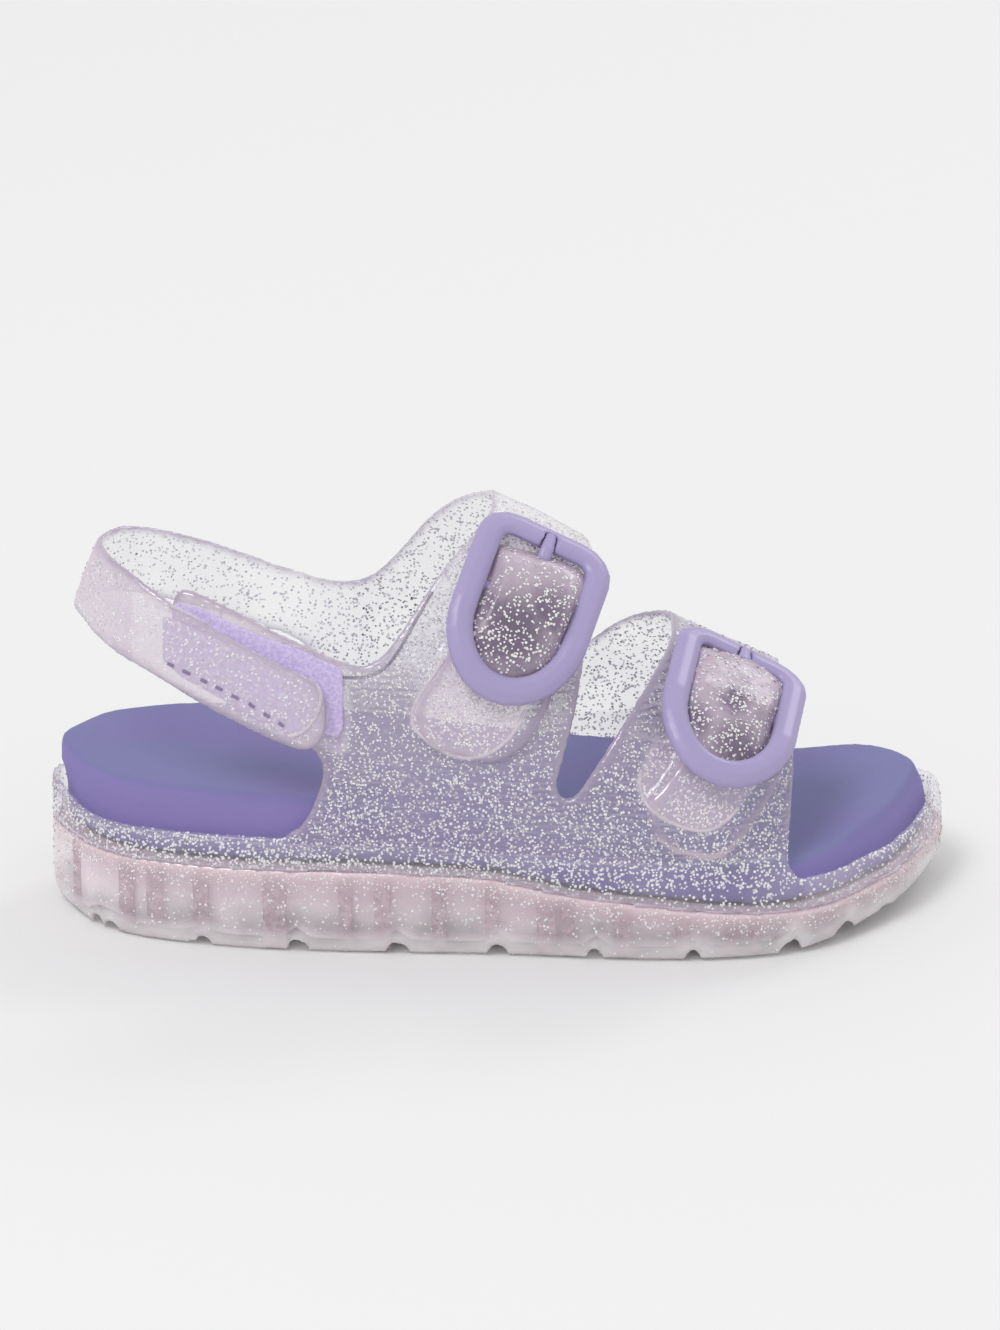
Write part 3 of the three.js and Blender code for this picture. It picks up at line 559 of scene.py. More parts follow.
# Painted light on the insole's sides.
BED_SIDE_LIT = (0.235, 0.19, 0.455, 1)
CREASE_DEEP = 0.0006
CREASE_SLANT = 0.5
CREASE_WIDE = 0.11
CREASE_ROUNDS = 5
HEEL_END = -0.028
TOE_START = 0.052
CREASE_FADE = 0.006
footbed = moulded_copy("footbed", "foam_footbed", BED_VOXEL, BED_ROUNDS, BED_GIVE)
places, pairs = point_table(footbed)
normals, _ = point_table(footbed, "normal")
shoulder = np.exp(-(((normals[:, 2] - CREASE_SLANT) / CREASE_WIDE) ** 2)) * (places[:, 2] > 0.02)
heel = np.clip((HEEL_END - places[:, 0]) / CREASE_FADE, 0, 1)
toe = np.clip((places[:, 0] - TOE_START) / CREASE_FADE, 0, 1)
pressed = shoulder * np.maximum(heel, toe) * 0.7
for _ in range(CREASE_ROUNDS):
    pressed = averaged(pressed[:, None], pairs, len(pressed))[:, 0]
places = places - normals * (pressed * CREASE_DEEP)[:, None]
footbed.data.vertices.foreach_set("co", places.ravel())
keep(footbed, "crease", pressed)
keep(footbed, "side", np.clip(1.2 - 1.6 * np.abs(normals[:, 2]), 0, 1))
foam, nodes, links, shader = material("purple_foam")
mottle = spread(nodes, links, noise(nodes, 28, 2), 0.35, 0.65, 0, 1)
colour = blend(nodes, links, mottle, BED_PURPLE, BED_BLUE)
# The insole's sides are painted lighter, as painted light.
colour = blend(nodes, links, kept_value(nodes, "side"), colour, BED_SIDE_LIT)
# The crease is painted darker, as painted shade.
crease_shade = sums(nodes, links, kept_value(nodes, "crease"), 0.7, "MULTIPLY")
colour = blend(nodes, links, crease_shade, colour, BED_CREASE_SHADE)
links.new(colour, shader.inputs["Base Color"])
shader.inputs["Roughness"].default_value = 0.75
bumped(nodes, links, shader, noise(nodes, 1600, 2), 0.35, 0.0002)
footbed.data.materials.append(foam)
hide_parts("footbed")
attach(footbed, "root")

# Upper
# One moulded piece of clear soft plastic: the rim round the footbed, two side panels, two straps over
# the foot, the fastening tab and the heel strap. Its cut edges, and walls seen along their length, look
# denser and lilac.
UPPER_VOXEL = 0.0008
UPPER_ROUNDS = 60
UPPER_GIVE = 0.00035
RIM_DROP = 0.0006
RIM_UNDER = 0.029
STRAP_START = -0.031
RIM_STATIONS = (-0.09, -0.03, 0.03, 0.06, 0.075, 0.09)
RIM_TOPS = (0.0235, 0.0235, 0.021, 0.022, 0.026, 0.032)
JELLY_WHITE = (0.90, 0.88, 0.92, 1)
JELLY_LILAC = (0.33, 0.27, 0.38, 1)
JELLY_MILK = (0.60, 0.50, 0.60, 1)
JELLY_SHADE = (0.245, 0.205, 0.325, 1)
# Painted shade in the hollows under the doubled straps.
JELLY_HOLLOW_SHADE = (0.20, 0.14, 0.23, 1)
RIB_PITCH = 0.00125
TAIL_INSTEP = [
    (451, 640), (444, 660), (426, 686), (413, 707), (411, 719), (416, 731), (433, 746), (450, 755), (468, 759),
    (485, 756), (502, 746), (516, 731), (526, 710), (560, 650),
]
TAIL_FRONT = [
    (656, 740), (645, 765), (640, 776), (639, 787), (645, 804), (658, 816), (680, 827), (700, 832), (716, 829),
    (731, 817), (738, 807), (768, 760),
]
DOME_INSTEP = [
    (490, 525), (545, 545), (600, 575), (592, 612), (572, 655), (550, 680), (520, 690), (492, 682), (468, 662),
    (455, 632), (462, 600), (480, 555),
]
DOME_FRONT = [
    (688, 636), (738, 652), (790, 680), (780, 720), (768, 750), (748, 770), (725, 774), (697, 762), (674, 738),
    (662, 705), (668, 680), (680, 650),
]
# Spots of painted shade in the hollows under the doubled straps: x and y in the picture, size and strength.
HOLLOW_SHADE_SPOTS = [
    (512, 632, 44, 1.0), (548, 612, 34, 0.8), (482, 640, 26, 0.8), (692, 722, 24, 0.9), (736, 700, 20, 0.8),
    (735, 742, 30, 0.8), (762, 716, 18, 0.5),
]
upper = moulded_copy("upper", "upper_jelly", UPPER_VOXEL, UPPER_ROUNDS, UPPER_GIVE)
places, pairs = point_table(upper)
normals, _ = point_table(upper, "normal")
lower_edge = np.clip(-normals[:, 2], 0, 1) * (places[:, 2] < RIM_UNDER)
places[:, 2] -= RIM_DROP * lower_edge
upper.data.vertices.foreach_set("co", places.ravel())
upper.data.update()
spots = in_picture(places)
core_x = np.clip(places[:, 0], -0.055, 0.055)
core_z = np.minimum(places[:, 2], 0.03)
from_core = np.stack([places[:, 0] - core_x, places[:, 1] - SOLE_MIDDLE, places[:, 2] - core_z], axis=1)
outward = (np.einsum("ij,ij->i", normals, from_core) > 0).astype(float)
near = (places[:, 1] < 0.004) & (outward > 0.5)
height = places[:, 2]
past_start = STRAP_START - places[:, 0]
on_strap = (past_start > 0) & (height > 0.043) & (height > 0.0435 + 0.42 * past_start)


def softened(values, rounds):
    """A value at each point, smoothed over its neighbours."""
    values = values[:, None].astype(float)
    for _ in range(rounds):
        values = 0.5 * values + 0.5 * averaged(values, pairs, len(values))
    return values[:, 0]


def hollow_shade_at(spots):
    """How much painted shade lies in the hollows of the doubled straps at places of the picture."""
    shade_amount = np.zeros(len(spots))
    for x, y, size, strength in HOLLOW_SHADE_SPOTS:
        away = (spots[:, 0] - x) ** 2 + (spots[:, 1] - y) ** 2
        shade_amount = np.maximum(shade_amount, strength * np.exp(-(away / size**2)))
    return shade_amount


tail = softened(near & (inside(TAIL_INSTEP, spots) | inside(TAIL_FRONT, spots)), 3)
dome = softened(near & (inside(DOME_INSTEP, spots) | inside(DOME_FRONT, spots)), 6)
hollow_shade = softened(near * hollow_shade_at(spots) * (dome > 0.3), 4)
rim_top = np.interp(places[:, 0], RIM_STATIONS, RIM_TOPS)
panel = (height > rim_top) & ~on_strap & (tail < 0.5) & (dome < 0.5)
shade = np.clip((0.079 - height) / 0.024, 0, 1) * panel * outward
shade = softened(shade, 4)
strap_share = np.where(places[:, 1] < 0.004, 1.0, np.clip(past_start / 0.03, 0, 1))
# How cloudy the plastic is on the straps and faces; at the toe end below the collar it is raised further as
# painted light.
elsewhere = np.where(height < 0.072, np.where(places[:, 0] > 0.062, 0.45, 0.14), 0.35)
milk_and_painted_light = softened(np.maximum(outward * on_strap * strap_share, outward * elsewhere), 3)
milk_and_painted_light = milk_and_painted_light * np.where(places[:, 0] < -0.074, 1.35, 1.0)
# The upper's lower edge is painted milky as painted light, so that no shade shows in the seam over the sole.
milk_and_painted_light = np.maximum(milk_and_painted_light, 1.2 * np.clip(2 * lower_edge, 0, 1))
edge_kept = np.array([v.value for v in upper.data.attributes["edge"].data])
joint_high = 0.0265 + 0.12 * np.maximum(0, places[:, 0] - 0.06)
edge_kept = edge_kept * np.where(height < joint_high, 0.15, 1)
upper.data.attributes["edge"].data.foreach_set("value", edge_kept.astype(np.float32))
keep(upper, "outward", softened(outward, 2))
for name, values in (("tail", tail), ("dome", dome), ("hollow_shade", hollow_shade), ("shade", shade), ("milk_and_painted_light", milk_and_painted_light)):
    keep(upper, name, values)

clear, nodes, links, shader = material("clear_jelly")
edge_look = kept_value(nodes, "edge")
turned = spread(nodes, links, facing(nodes, 0.4), 0.45, 1, 0, 1)
front = sums(nodes, links, 1.0, behind(nodes), "SUBTRACT")
up = part_of_place(nodes, links, "Z")
wave = nodes.new("ShaderNodeMath")
wave.operation = "SINE"
turns = nodes.new("ShaderNodeMath")
turns.operation = "MULTIPLY"
turns.inputs[1].default_value = 2 * math.pi / RIB_PITCH
links.new(up, turns.inputs[0])
links.new(turns.outputs["Value"], wave.inputs[0])
ribs = spread(nodes, links, wave.outputs["Value"], -0.2, 0.9, 0, 1)
broken = spread(nodes, links, noise(nodes, 500, 2, 0.6, (0.25, 1, 1)), 0.4, 0.6, 0, 1)
ribs = sums(nodes, links, ribs, broken, "MULTIPLY")
shade_look = kept_value(nodes, "shade")
tail_look = kept_value(nodes, "tail")
dome_look = kept_value(nodes, "dome")
hollow_shade_look = kept_value(nodes, "hollow_shade")
milk_and_light_look = kept_value(nodes, "milk_and_painted_light")
colour = blend(nodes, links, sums(nodes, links, shade_look, 0.95, "MULTIPLY"), JELLY_WHITE, JELLY_SHADE)
milk_and_light_share = sums(nodes, links, sums(nodes, links, tail_look, dome_look, "MAXIMUM"), milk_and_light_look, "MAXIMUM")
# Milky where the plastic is cloudy, and painted light on the toe end and the lower edge.
colour = blend(nodes, links, milk_and_light_share, colour, JELLY_MILK)
# Painted shade over the hollow under each doubled strap.
colour = blend(nodes, links, hollow_shade_look, colour, JELLY_HOLLOW_SHADE)
colour = blend(nodes, links, sums(nodes, links, edge_look, 0.8, "MULTIPLY"), colour, JELLY_LILAC)
colour = blend(nodes, links, sums(nodes, links, turned, 0.5, "MULTIPLY"), colour, JELLY_MILK)
links.new(colour, shader.inputs["Base Color"])
body = sums(nodes, links, milk_and_light_look, 0.5, "MULTIPLY")
high = spread(nodes, links, up, 0.034, 0.046, 0.34, 0.64)
ribbed = sums(nodes, links, sums(nodes, links, ribs, 0.42, "MULTIPLY"), high)
body = sums(nodes, links, body, sums(nodes, links, shade_look, ribbed, "MULTIPLY"))
body = sums(nodes, links, body, sums(nodes, links, tail_look, 0.52, "MULTIPLY"))
body = sums(nodes, links, body, sums(nodes, links, dome_look, 0.42, "MULTIPLY"))
body = sums(nodes, links, body, sums(nodes, links, hollow_shade_look, 0.4, "MULTIPLY"))
body = sums(nodes, links, body, sums(nodes, links, edge_look, 0.45, "MULTIPLY"))
body = sums(nodes, links, body, front, "MULTIPLY")
body = sums(nodes, links, body, spread(nodes, links, noise(nodes, 70, 3), 0.3, 0.7, 0.03, 0.09))
body = sums(nodes, links, body, sums(nodes, links, edge_look, 0.12, "MULTIPLY"))
body = sums(nodes, links, body, sums(nodes, links, turned, 0.35, "MULTIPLY"))
links.new(body, shader.inputs["Alpha"])
shader.inputs["Roughness"].default_value = 0.2
shader.inputs["IOR"].default_value = 1.9
relief = sums(nodes, links, sums(nodes, links, ribs, shade_look, "MULTIPLY"), 0.5, "MULTIPLY")
relief = sums(nodes, links, noise(nodes, 300, 2), relief)
bumped(nodes, links, shader, relief, 0.25, 0.0004)
upper.data.materials.append(clear)
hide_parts("upper")
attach(upper, "root")

# Beads and stitches
# A fine raised border moulded round the strap ends and round the end of the heel strap, a milky thread
# along the heel strap's top edge as its painted highlight, and the thread that holds the tape on the
# heel strap, which dips in and out along its lower edge.
TAIL_BEADS = [
    [(444, 660), (426, 686), (413, 707), (411, 719), (416, 731), (433, 746), (450, 755), (468, 759),
     (485, 756), (502, 746), (516, 731), (526, 710)],
    [(641, 770), (639, 787), (645, 804), (658, 816), (680, 827), (700, 832), (716, 829), (731, 817),
     (738, 807)],
]
# Along the heel strap's top edge a milky thread stands for its painted highlight; round the strap's end it is a
# raised border.
STRAP_BEADS_AND_HIGHLIGHT = [
    [(170, 605), (230, 637), (299, 670), (314, 682), (322, 693), (320, 707), (312, 724), (300, 734),
     (288, 736)],
]
# A dark thread along the near panel's collar edge, as painted shade where that thick edge looks dark.
COLLAR_SHADE_LINES = [
    [(336, 676), (356, 679), (383, 674), (401, 648), (416, 620), (432, 592)],
]
STITCHES = [
    (167, 663), (182, 670), (200, 679), (215, 686), (231, 695), (248, 703), (263, 713), (278, 722),
    (291, 731),
]
STITCH_PARTS = (0.05, 0.25, 0.45)
BEAD_THICK = 0.00042
THREAD_THICK = 0.00034
BEAD_LIFT = 0.0001
LINE_STEP = 10
LINE_BREAK = 0.006
BEAD_MILK = (0.80, 0.72, 0.80, 1)
COLLAR_SHADE_GREY = (0.24, 0.20, 0.30, 1)
THREAD_PURPLE = (0.17, 0.13, 0.26, 1)
THREAD_PALE = (0.30, 0.25, 0.40, 1)
upper_surface = surface_of(upper)


def traced(surface, spots, lift):
    """A smooth line on a surface through places of the picture."""
    for _ in range(2):
        cut = [spots[0]]
        for (ax, ay), (bx, by) in zip(spots, spots[1:]):
            cut.append((0.75 * ax + 0.25 * bx, 0.75 * ay + 0.25 * by))
            cut.append((0.25 * ax + 0.75 * bx, 0.25 * ay + 0.75 * by))
        spots = cut + [spots[-1]]
    line = []
    for (ax, ay), (bx, by) in zip(spots, spots[1:]):
        count = max(1, int(math.hypot(bx - ax, by - ay) / LINE_STEP + 0.5))
        for k in range(count):
            x, y = ax + (bx - ax) * k / count, ay + (by - ay) * k / count
            line.append(seen_at(surface, x, y, lift)[0])
    line.append(seen_at(surface, *spots[-1], lift)[0])
    line = np.array([list(p) for p in line])
    breaks = np.nonzero(np.linalg.norm(np.diff(line, axis=0), axis=1) > LINE_BREAK)[0] + 1
    line = max(np.split(line, breaks), key=len)
    for _ in range(3):
        line[1:-1] = 0.5 * line[1:-1] + 0.25 * (line[:-2] + line[2:])
    return line


def threads(lines, name, thick):
    """Round threads along lines, as one mesh."""
    shape = bpy.data.curves.new(name, "CURVE")
    shape.dimensions = "3D"
    shape.bevel_depth = thick
    shape.bevel_resolution = 2
    shape.use_fill_caps = True
    for line in lines:
        run = shape.splines.new("POLY")
        run.points.add(len(line) - 1)
        for k, place in enumerate(line):
            run.points[k].co = (*place, 1)
    piece = bpy.data.objects.new(name, shape)
    bpy.context.collection.objects.link(piece)
    only(piece)
    bpy.ops.object.convert(target="MESH")
    bpy.ops.object.shade_smooth()
    return piece


bead_jelly, nodes, links, shader = material("bead_jelly")
shader.inputs["Base Color"].default_value = BEAD_MILK
body = spread(nodes, links, noise(nodes, 220, 2), 0.35, 0.65, 0.35, 0.6)
links.new(body, shader.inputs["Alpha"])
shader.inputs["Roughness"].default_value = 0.25
for name, lines in (("tail_beads", TAIL_BEADS), ("strap_beads_and_highlight", STRAP_BEADS_AND_HIGHLIGHT)):
    beads = threads([traced(upper_surface, line, BEAD_LIFT) for line in lines], name, BEAD_THICK)
    beads.data.materials.append(bead_jelly)
    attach(beads, "root")
# Painted shade along the collar edge, laid as a dark thread.
collar_shade_jelly, nodes, links, shader = material("collar_shade_jelly")
shader.inputs["Base Color"].default_value = COLLAR_SHADE_GREY
body = spread(nodes, links, noise(nodes, 120, 2), 0.35, 0.65, 0.25, 0.55)
links.new(body, shader.inputs["Alpha"])
shader.inputs["Roughness"].default_value = 0.2
collar_shade = threads([traced(upper_surface, line, 0.0) for line in COLLAR_SHADE_LINES], "collar_shade_line", THREAD_THICK)
collar_shade.data.materials.append(collar_shade_jelly)
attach(collar_shade, "root")
dashes = []
for (ax, ay), (bx, by) in zip(STITCHES, STITCHES[1:]):
    dash = [(ax + (bx - ax) * t, ay + (by - ay) * t) for t in STITCH_PARTS]
    dashes.append([seen_at(upper_surface, x, y, BEAD_LIFT)[0] for x, y in dash])
stitches = threads(dashes, "tape_stitches", THREAD_THICK)
thread, nodes, links, shader = material("purple_thread")
colour = blend(nodes, links, noise(nodes, 3000, 2), THREAD_PURPLE, THREAD_PALE)
links.new(colour, shader.inputs["Base Color"])
shader.inputs["Roughness"].default_value = 0.7
stitches.data.materials.append(thread)
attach(stitches, "root")

# Strap humps
# Where each strap passes over its buckle's middle bar it stands up in a soft hump that fills the frame.
# The plastic is doubled there, so it is cloudy and full of glitter, and painted shade lies over the hollow under
# it.
HUMPS = {
    "buckle_instep": [
        (497, 540), (520, 546), (545, 553), (564, 558), (580, 567), (592, 577), (593, 590), (587, 608), (576, 633),
        (562, 662), (549, 673), (532, 678), (514, 680), (495, 674), (476, 660), (465, 644), (464, 629), (470, 612),
        (478, 594), (487, 575), (492, 554),
    ],
    "buckle_front": [
        (693, 641), (712, 644), (728, 648), (749, 653), (770, 667), (787, 681), (789, 690), (782, 717), (774, 738),
        (768, 754), (753, 761), (737, 763), (720, 758), (699, 748), (685, 731), (677, 708), (678, 692), (687, 667),
        (691, 650),
    ],
}
HUMP_MILK = (0.56, 0.46, 0.56, 1)
# Painted shade for the hollow under each hump.
HUMP_SHADE = (0.12, 0.08, 0.15, 1)
HUMP_RINGS = 22
HUMP_POINTS = 72
HUMP_COVER = 0.0002
HUMP_UNDER = 0.0012
CAST_FROM = 0.008
CAST_FAR = 0.011
TUCK_BELOW = 0.0006


def tuck_under(out, middle, half, heart, ring, height, shares):
    """Draws the strap's own plastic in the frame down under its hump."""
    out = np.array(out)
    side = ring[0] - heart
    side = side / np.linalg.norm(side)
    up_side = np.cross(out, side)
    turn = np.arctan2((ring - heart) @ up_side, (ring - heart) @ side)
    reach = np.linalg.norm(ring - heart, axis=1)
    order = np.argsort(turn)
    table, _ = point_table(upper)
    above = (table - middle) @ out
    off = table - heart
    off = off - (off @ out)[:, None] * out
    angle = np.arctan2(off @ up_side, off @ side)
    radius = np.interp(angle, turn[order], reach[order], period=2 * math.pi)
    share = np.linalg.norm(off, axis=1) / radius
    held = (above > -0.5 * half) & (above < 0.006) & (share < 1.4)
    new_share = np.where(share > 0.9, 0.9, share)
    roof = np.interp(new_share, shares[::-1], height.mean(axis=1)[::-1]) - TUCK_BELOW
    low = np.minimum(above, np.minimum(roof, height.min(axis=1).max()))
    moved = heart + off * (new_share / np.maximum(share, 1e-6))[:, None] + low[:, None] * out
    moved = moved - ((heart - middle) @ out) * out
    table[held] = moved[held]
    upper.data.vertices.foreach_set("co", table.ravel())
    upper.data.update()


def hump(frame_node, outline, name):
    """A soft hump that fills a buckle's frame and lies over the strap in it."""
    points = np.array([list(v.co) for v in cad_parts[frame_node].data.vertices])
    middle = (points.min(axis=0) + points.max(axis=0)) / 2
    out = Vector(np.linalg.svd(points - points.mean(axis=0), full_matrices=False)[2][2])
    if out.dot(back) < 0:
        out = -out
    along = (points - middle) @ np.array(out)
    middle = Vector(middle) + out * (along.max() + along.min()) / 2
    half = (along.max() - along.min()) / 2
    round_line = []
    for x, y in outline:
        ray = ray_at(x, y)
        round_line.append(list(eye + ray * ((middle - eye).dot(out) / ray.dot(out))))
    round_line = np.array(round_line + round_line[:1])
    far = np.concatenate([[0], np.cumsum(np.linalg.norm(np.diff(round_line, axis=0), axis=1))])
    even = np.linspace(0, far[-1], HUMP_POINTS, endpoint=False)
    ring = np.stack([np.interp(even, far, round_line[:, k]) for k in range(3)], axis=1)
    for _ in range(2):
        ring = 0.5 * ring + 0.25 * (np.roll(ring, 1, 0) + np.roll(ring, -1, 0))
    heart = ring.mean(axis=0)
    shares = np.linspace(1, 1 / HUMP_RINGS, HUMP_RINGS)
    flat = heart + (ring - heart)[None] * shares[:, None, None]
    wanted = np.full(flat.shape[:2], -1.0)
    for i in range(flat.shape[0]):
        for j in range(flat.shape[1]):
            start = Vector(flat[i, j]) + out * CAST_FROM
            hit, _, _, reached = upper_surface.ray_cast(start, -out, CAST_FAR)
            if hit and shares[i] < 0.72:
                wanted[i, j] = CAST_FROM - reached + HUMP_COVER
    dome_form = (1 - shares**5)[:, None] * np.ones(HUMP_POINTS)
    height = -0.4 * half + max(1.3 * half, 0.5 * (wanted.max() + 0.4 * half)) * dome_form
    height = np.maximum(height, wanted)
    for _ in range(8):
        inner = np.vstack([height[1:], height[-1:].mean() * np.ones((1, HUMP_POINTS))])
        outer = np.vstack([height[:1], height[:-1]])
        near_by = (np.roll(height, 1, 1) + np.roll(height, -1, 1) + inner + outer) / 4
        height[1:] = np.maximum(0.4 * height[1:] + 0.6 * near_by[1:], wanted[1:] - 0.0001)
    way = np.array(out)
    rows = [ring - way * HUMP_UNDER] + [flat[i] + height[i][:, None] * way for i in range(HUMP_RINGS)]
    places = np.vstack(rows + [heart + way * height[-1].mean(), heart - way * HUMP_UNDER])
    top, under = len(places) - 2, len(places) - 1
    faces = []
    for i in range(HUMP_RINGS):
        for j in range(HUMP_POINTS):
            k = (j + 1) % HUMP_POINTS
            a, b = i * HUMP_POINTS, (i + 1) * HUMP_POINTS
            faces.append((a + j, a + k, b + k, b + j))
    for j in range(HUMP_POINTS):
        k = (j + 1) % HUMP_POINTS
        last = HUMP_RINGS * HUMP_POINTS
        faces += [(last + j, last + k, top), (k, j, under)]
    shape = bpy.data.meshes.new(name)
    shape.from_pydata([tuple(p) for p in places], [], faces)
    piece = bpy.data.objects.new(name, shape)
    bpy.context.collection.objects.link(piece)
    only(piece)
    bpy.ops.object.mode_set(mode="EDIT")
    bpy.ops.mesh.select_all(action="SELECT")
    bpy.ops.mesh.normals_make_consistent(inside=False)
    bpy.ops.object.mode_set(mode="OBJECT")
    bpy.ops.object.shade_smooth()
    tuck_under(out, np.array(middle), half, heart, ring, height, shares)
    # Painted shade over the hollow under the hump, with more glitter where it lies.
    shade_amount = hollow_shade_at(in_picture(places))
    keep(piece, "shade_amount", shade_amount)
    keep(piece, "outward", np.ones(len(places)))
    on_rings = np.repeat(np.where(shares > 0.93, 0.2, 1), HUMP_POINTS)
    on_top = np.concatenate([np.zeros(HUMP_POINTS), on_rings, [1, 0]])
    keep(piece, "crowd", on_top * (0.35 + 0.9 * shade_amount))
    return piece


cloudy_shaded_hump, nodes, links, shader = material("cloudy_shaded_hump")
cloud = spread(nodes, links, noise(nodes, 240, 4, 0.6), 0.3, 0.7, -0.45, 0.45)
shade_amount = sums(nodes, links, cloud, kept_value(nodes, "shade_amount"), "MULTIPLY")
shade_amount = sums(nodes, links, kept_value(nodes, "shade_amount"), shade_amount)
# The hump is painted darker over its hollow, as painted shade, and cloudy elsewhere.
colour = blend(nodes, links, spread(nodes, links, shade_amount, 0.05, 0.95, 0, 0.85), HUMP_MILK, HUMP_SHADE)
links.new(colour, shader.inputs["Base Color"])
links.new(spread(nodes, links, cloud, -0.45, 0.45, 0.8, 0.95), shader.inputs["Alpha"])
shader.inputs["Roughness"].default_value = 0.28
bumped(nodes, links, shader, noise(nodes, 420, 3), 0.5, 0.0005)
humps = []
for node, outline in HUMPS.items():
    humps.append(hump(node, outline, node.replace("buckle", "strap_hump")))
    humps[-1].data.materials.append(cloudy_shaded_hump)
    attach(humps[-1], "root")

# Glitter
# Small flat silver flakes mixed into the plastic before moulding. They lie just under its surface,
# each turned a little its own way.
FLAKE_SIZE = 0.00032
FLAKE_CORNERS = 5
FLAKE_TIP = 0.5
FACE_DEPTH = -0.00003
FLAKE_GREY = (0.36, 0.34, 0.38, 1)
FLAKE_WHITE = (0.80, 0.58, 0.83, 1)


def glitter(base, name, per_area, depth, size, seed):
    """Flakes scattered under a piece's surface, as one mesh."""
    piece = bpy.data.objects.new(name, base.data.copy())
    bpy.context.collection.objects.link(piece)
    piece.data.materials.clear()
    tree = bpy.data.node_groups.new(name + "_spread", "GeometryNodeTree")
    tree.interface.new_socket("Geometry", in_out="INPUT", socket_type="NodeSocketGeometry")
    tree.interface.new_socket("Geometry", in_out="OUTPUT", socket_type="NodeSocketGeometry")
    tree_nodes, tree_links = tree.nodes, tree.links
    given = tree_nodes.new("NodeGroupInput")
    made = tree_nodes.new("NodeGroupOutput")
    scatter = tree_nodes.new("GeometryNodeDistributePointsOnFaces")
    more = tree_nodes.new("ShaderNodeMath")
    more.operation = "MULTIPLY"
    more.inputs[1].default_value = per_area
    crowd = tree_nodes.new("GeometryNodeInputNamedAttribute")
    crowd.data_type = "FLOAT"
    crowd.inputs["Name"].default_value = "crowd"
    tree_links.new(crowd.outputs["Attribute"], more.inputs[0])
    tree_links.new(more.outputs["Value"], scatter.inputs["Density"])
    scatter.inputs["Seed"].default_value = seed
    tree_links.new(given.outputs[0], scatter.inputs["Mesh"])

    def chance(kind, low_value, high_value, offset):
        """A random value for each flake."""
        pick = tree_nodes.new("FunctionNodeRandomValue")
        pick.data_type = kind
        slots = (0, 1) if kind == "FLOAT_VECTOR" else (2, 3)
        pick.inputs[slots[0]].default_value = low_value
        pick.inputs[slots[1]].default_value = high_value
        pick.inputs["Seed"].default_value = seed + offset
        return pick.outputs[0 if kind == "FLOAT_VECTOR" else 1]

    sink = tree_nodes.new("ShaderNodeVectorMath")
    sink.operation = "SCALE"
    tree_links.new(scatter.outputs["Normal"], sink.inputs[0])
    tree_links.new(chance("FLOAT", -depth, -depth * 0.25, 1), sink.inputs["Scale"])
    put = tree_nodes.new("GeometryNodeSetPosition")
    tree_links.new(scatter.outputs["Points"], put.inputs["Geometry"])
    tree_links.new(sink.outputs["Vector"], put.inputs["Offset"])
    disc = tree_nodes.new("GeometryNodeMeshCircle")
    disc.fill_type = "NGON"
    disc.inputs["Vertices"].default_value = FLAKE_CORNERS
    disc.inputs["Radius"].default_value = size
    tip = tree_nodes.new("FunctionNodeRotateRotation")
    tip.rotation_space = "LOCAL"
    euler = tree_nodes.new("FunctionNodeEulerToRotation")
    turn = chance("FLOAT_VECTOR", (-FLAKE_TIP, -FLAKE_TIP, -3.1), (FLAKE_TIP, FLAKE_TIP, 3.1), 2)
    tree_links.new(turn, euler.inputs[0])
    tree_links.new(scatter.outputs["Rotation"], tip.inputs["Rotation"])
    tree_links.new(euler.outputs[0], tip.inputs["Rotate By"])
    place = tree_nodes.new("GeometryNodeInstanceOnPoints")
    tree_links.new(put.outputs["Geometry"], place.inputs["Points"])
    tree_links.new(disc.outputs["Mesh"], place.inputs["Instance"])
    tree_links.new(tip.outputs["Rotation"], place.inputs["Rotation"])
    tree_links.new(chance("FLOAT", 0.7, 1.15, 3), place.inputs["Scale"])
    stored = tree_nodes.new("GeometryNodeStoreNamedAttribute")
    stored.data_type = "FLOAT"
    stored.domain = "INSTANCE"
    stored.inputs["Name"].default_value = "shine"
    tree_links.new(place.outputs["Instances"], stored.inputs["Geometry"])
    tree_links.new(chance("FLOAT", 0.0, 1.0, 4), stored.inputs["Value"])
    real = tree_nodes.new("GeometryNodeRealizeInstances")
    tree_links.new(stored.outputs["Geometry"], real.inputs["Geometry"])
    tree_links.new(real.outputs["Geometry"], made.inputs[0])
    only(piece)
    spreader = piece.modifiers.new("spread", "NODES")
    spreader.node_group = tree
    bpy.ops.object.modifier_apply(modifier="spread")
    return piece


flake, nodes, links, shader = material("silver_flake")
shine = sums(nodes, links, kept_value(nodes, "shine"), 0.4, "MULTIPLY")
# Flakes on the outer faces are painted lighter than those on the inner faces, as painted light and shade; the rest
# of the spread is each flake's own random tone.
shine = sums(nodes, links, shine, sums(nodes, links, kept_value(nodes, "outward"), 0.65, "MULTIPLY"))
links.new(blend(nodes, links, shine, FLAKE_GREY, FLAKE_WHITE), shader.inputs["Base Color"])
shader.inputs["Roughness"].default_value = 0.35
keep(upper, "crowd", np.where(on_strap, 0.9, 1.0))
deep_flakes = glitter(upper, "upper_glitter_deep", 330000, 0.0005, FLAKE_SIZE, 11)
upper.data.attributes.remove(upper.data.attributes["crowd"])
on_panel = (height < 0.078) & ~on_strap
open_face = outward * (height > 0.016) * (dome < 0.5) * (edge_kept < 0.2)
keep(upper, "crowd", near * open_face * (0.42 + 0.58 * on_panel + 0.3 * (tail > 0.5)))
face_flakes = glitter(upper, "upper_glitter_outer", 1200000, FACE_DEPTH, FLAKE_SIZE * 0.95, 12)
upper.data.attributes.remove(upper.data.attributes["crowd"])
keep(upper, "crowd", ~near * open_face * (0.2 + 0.8 * on_panel))
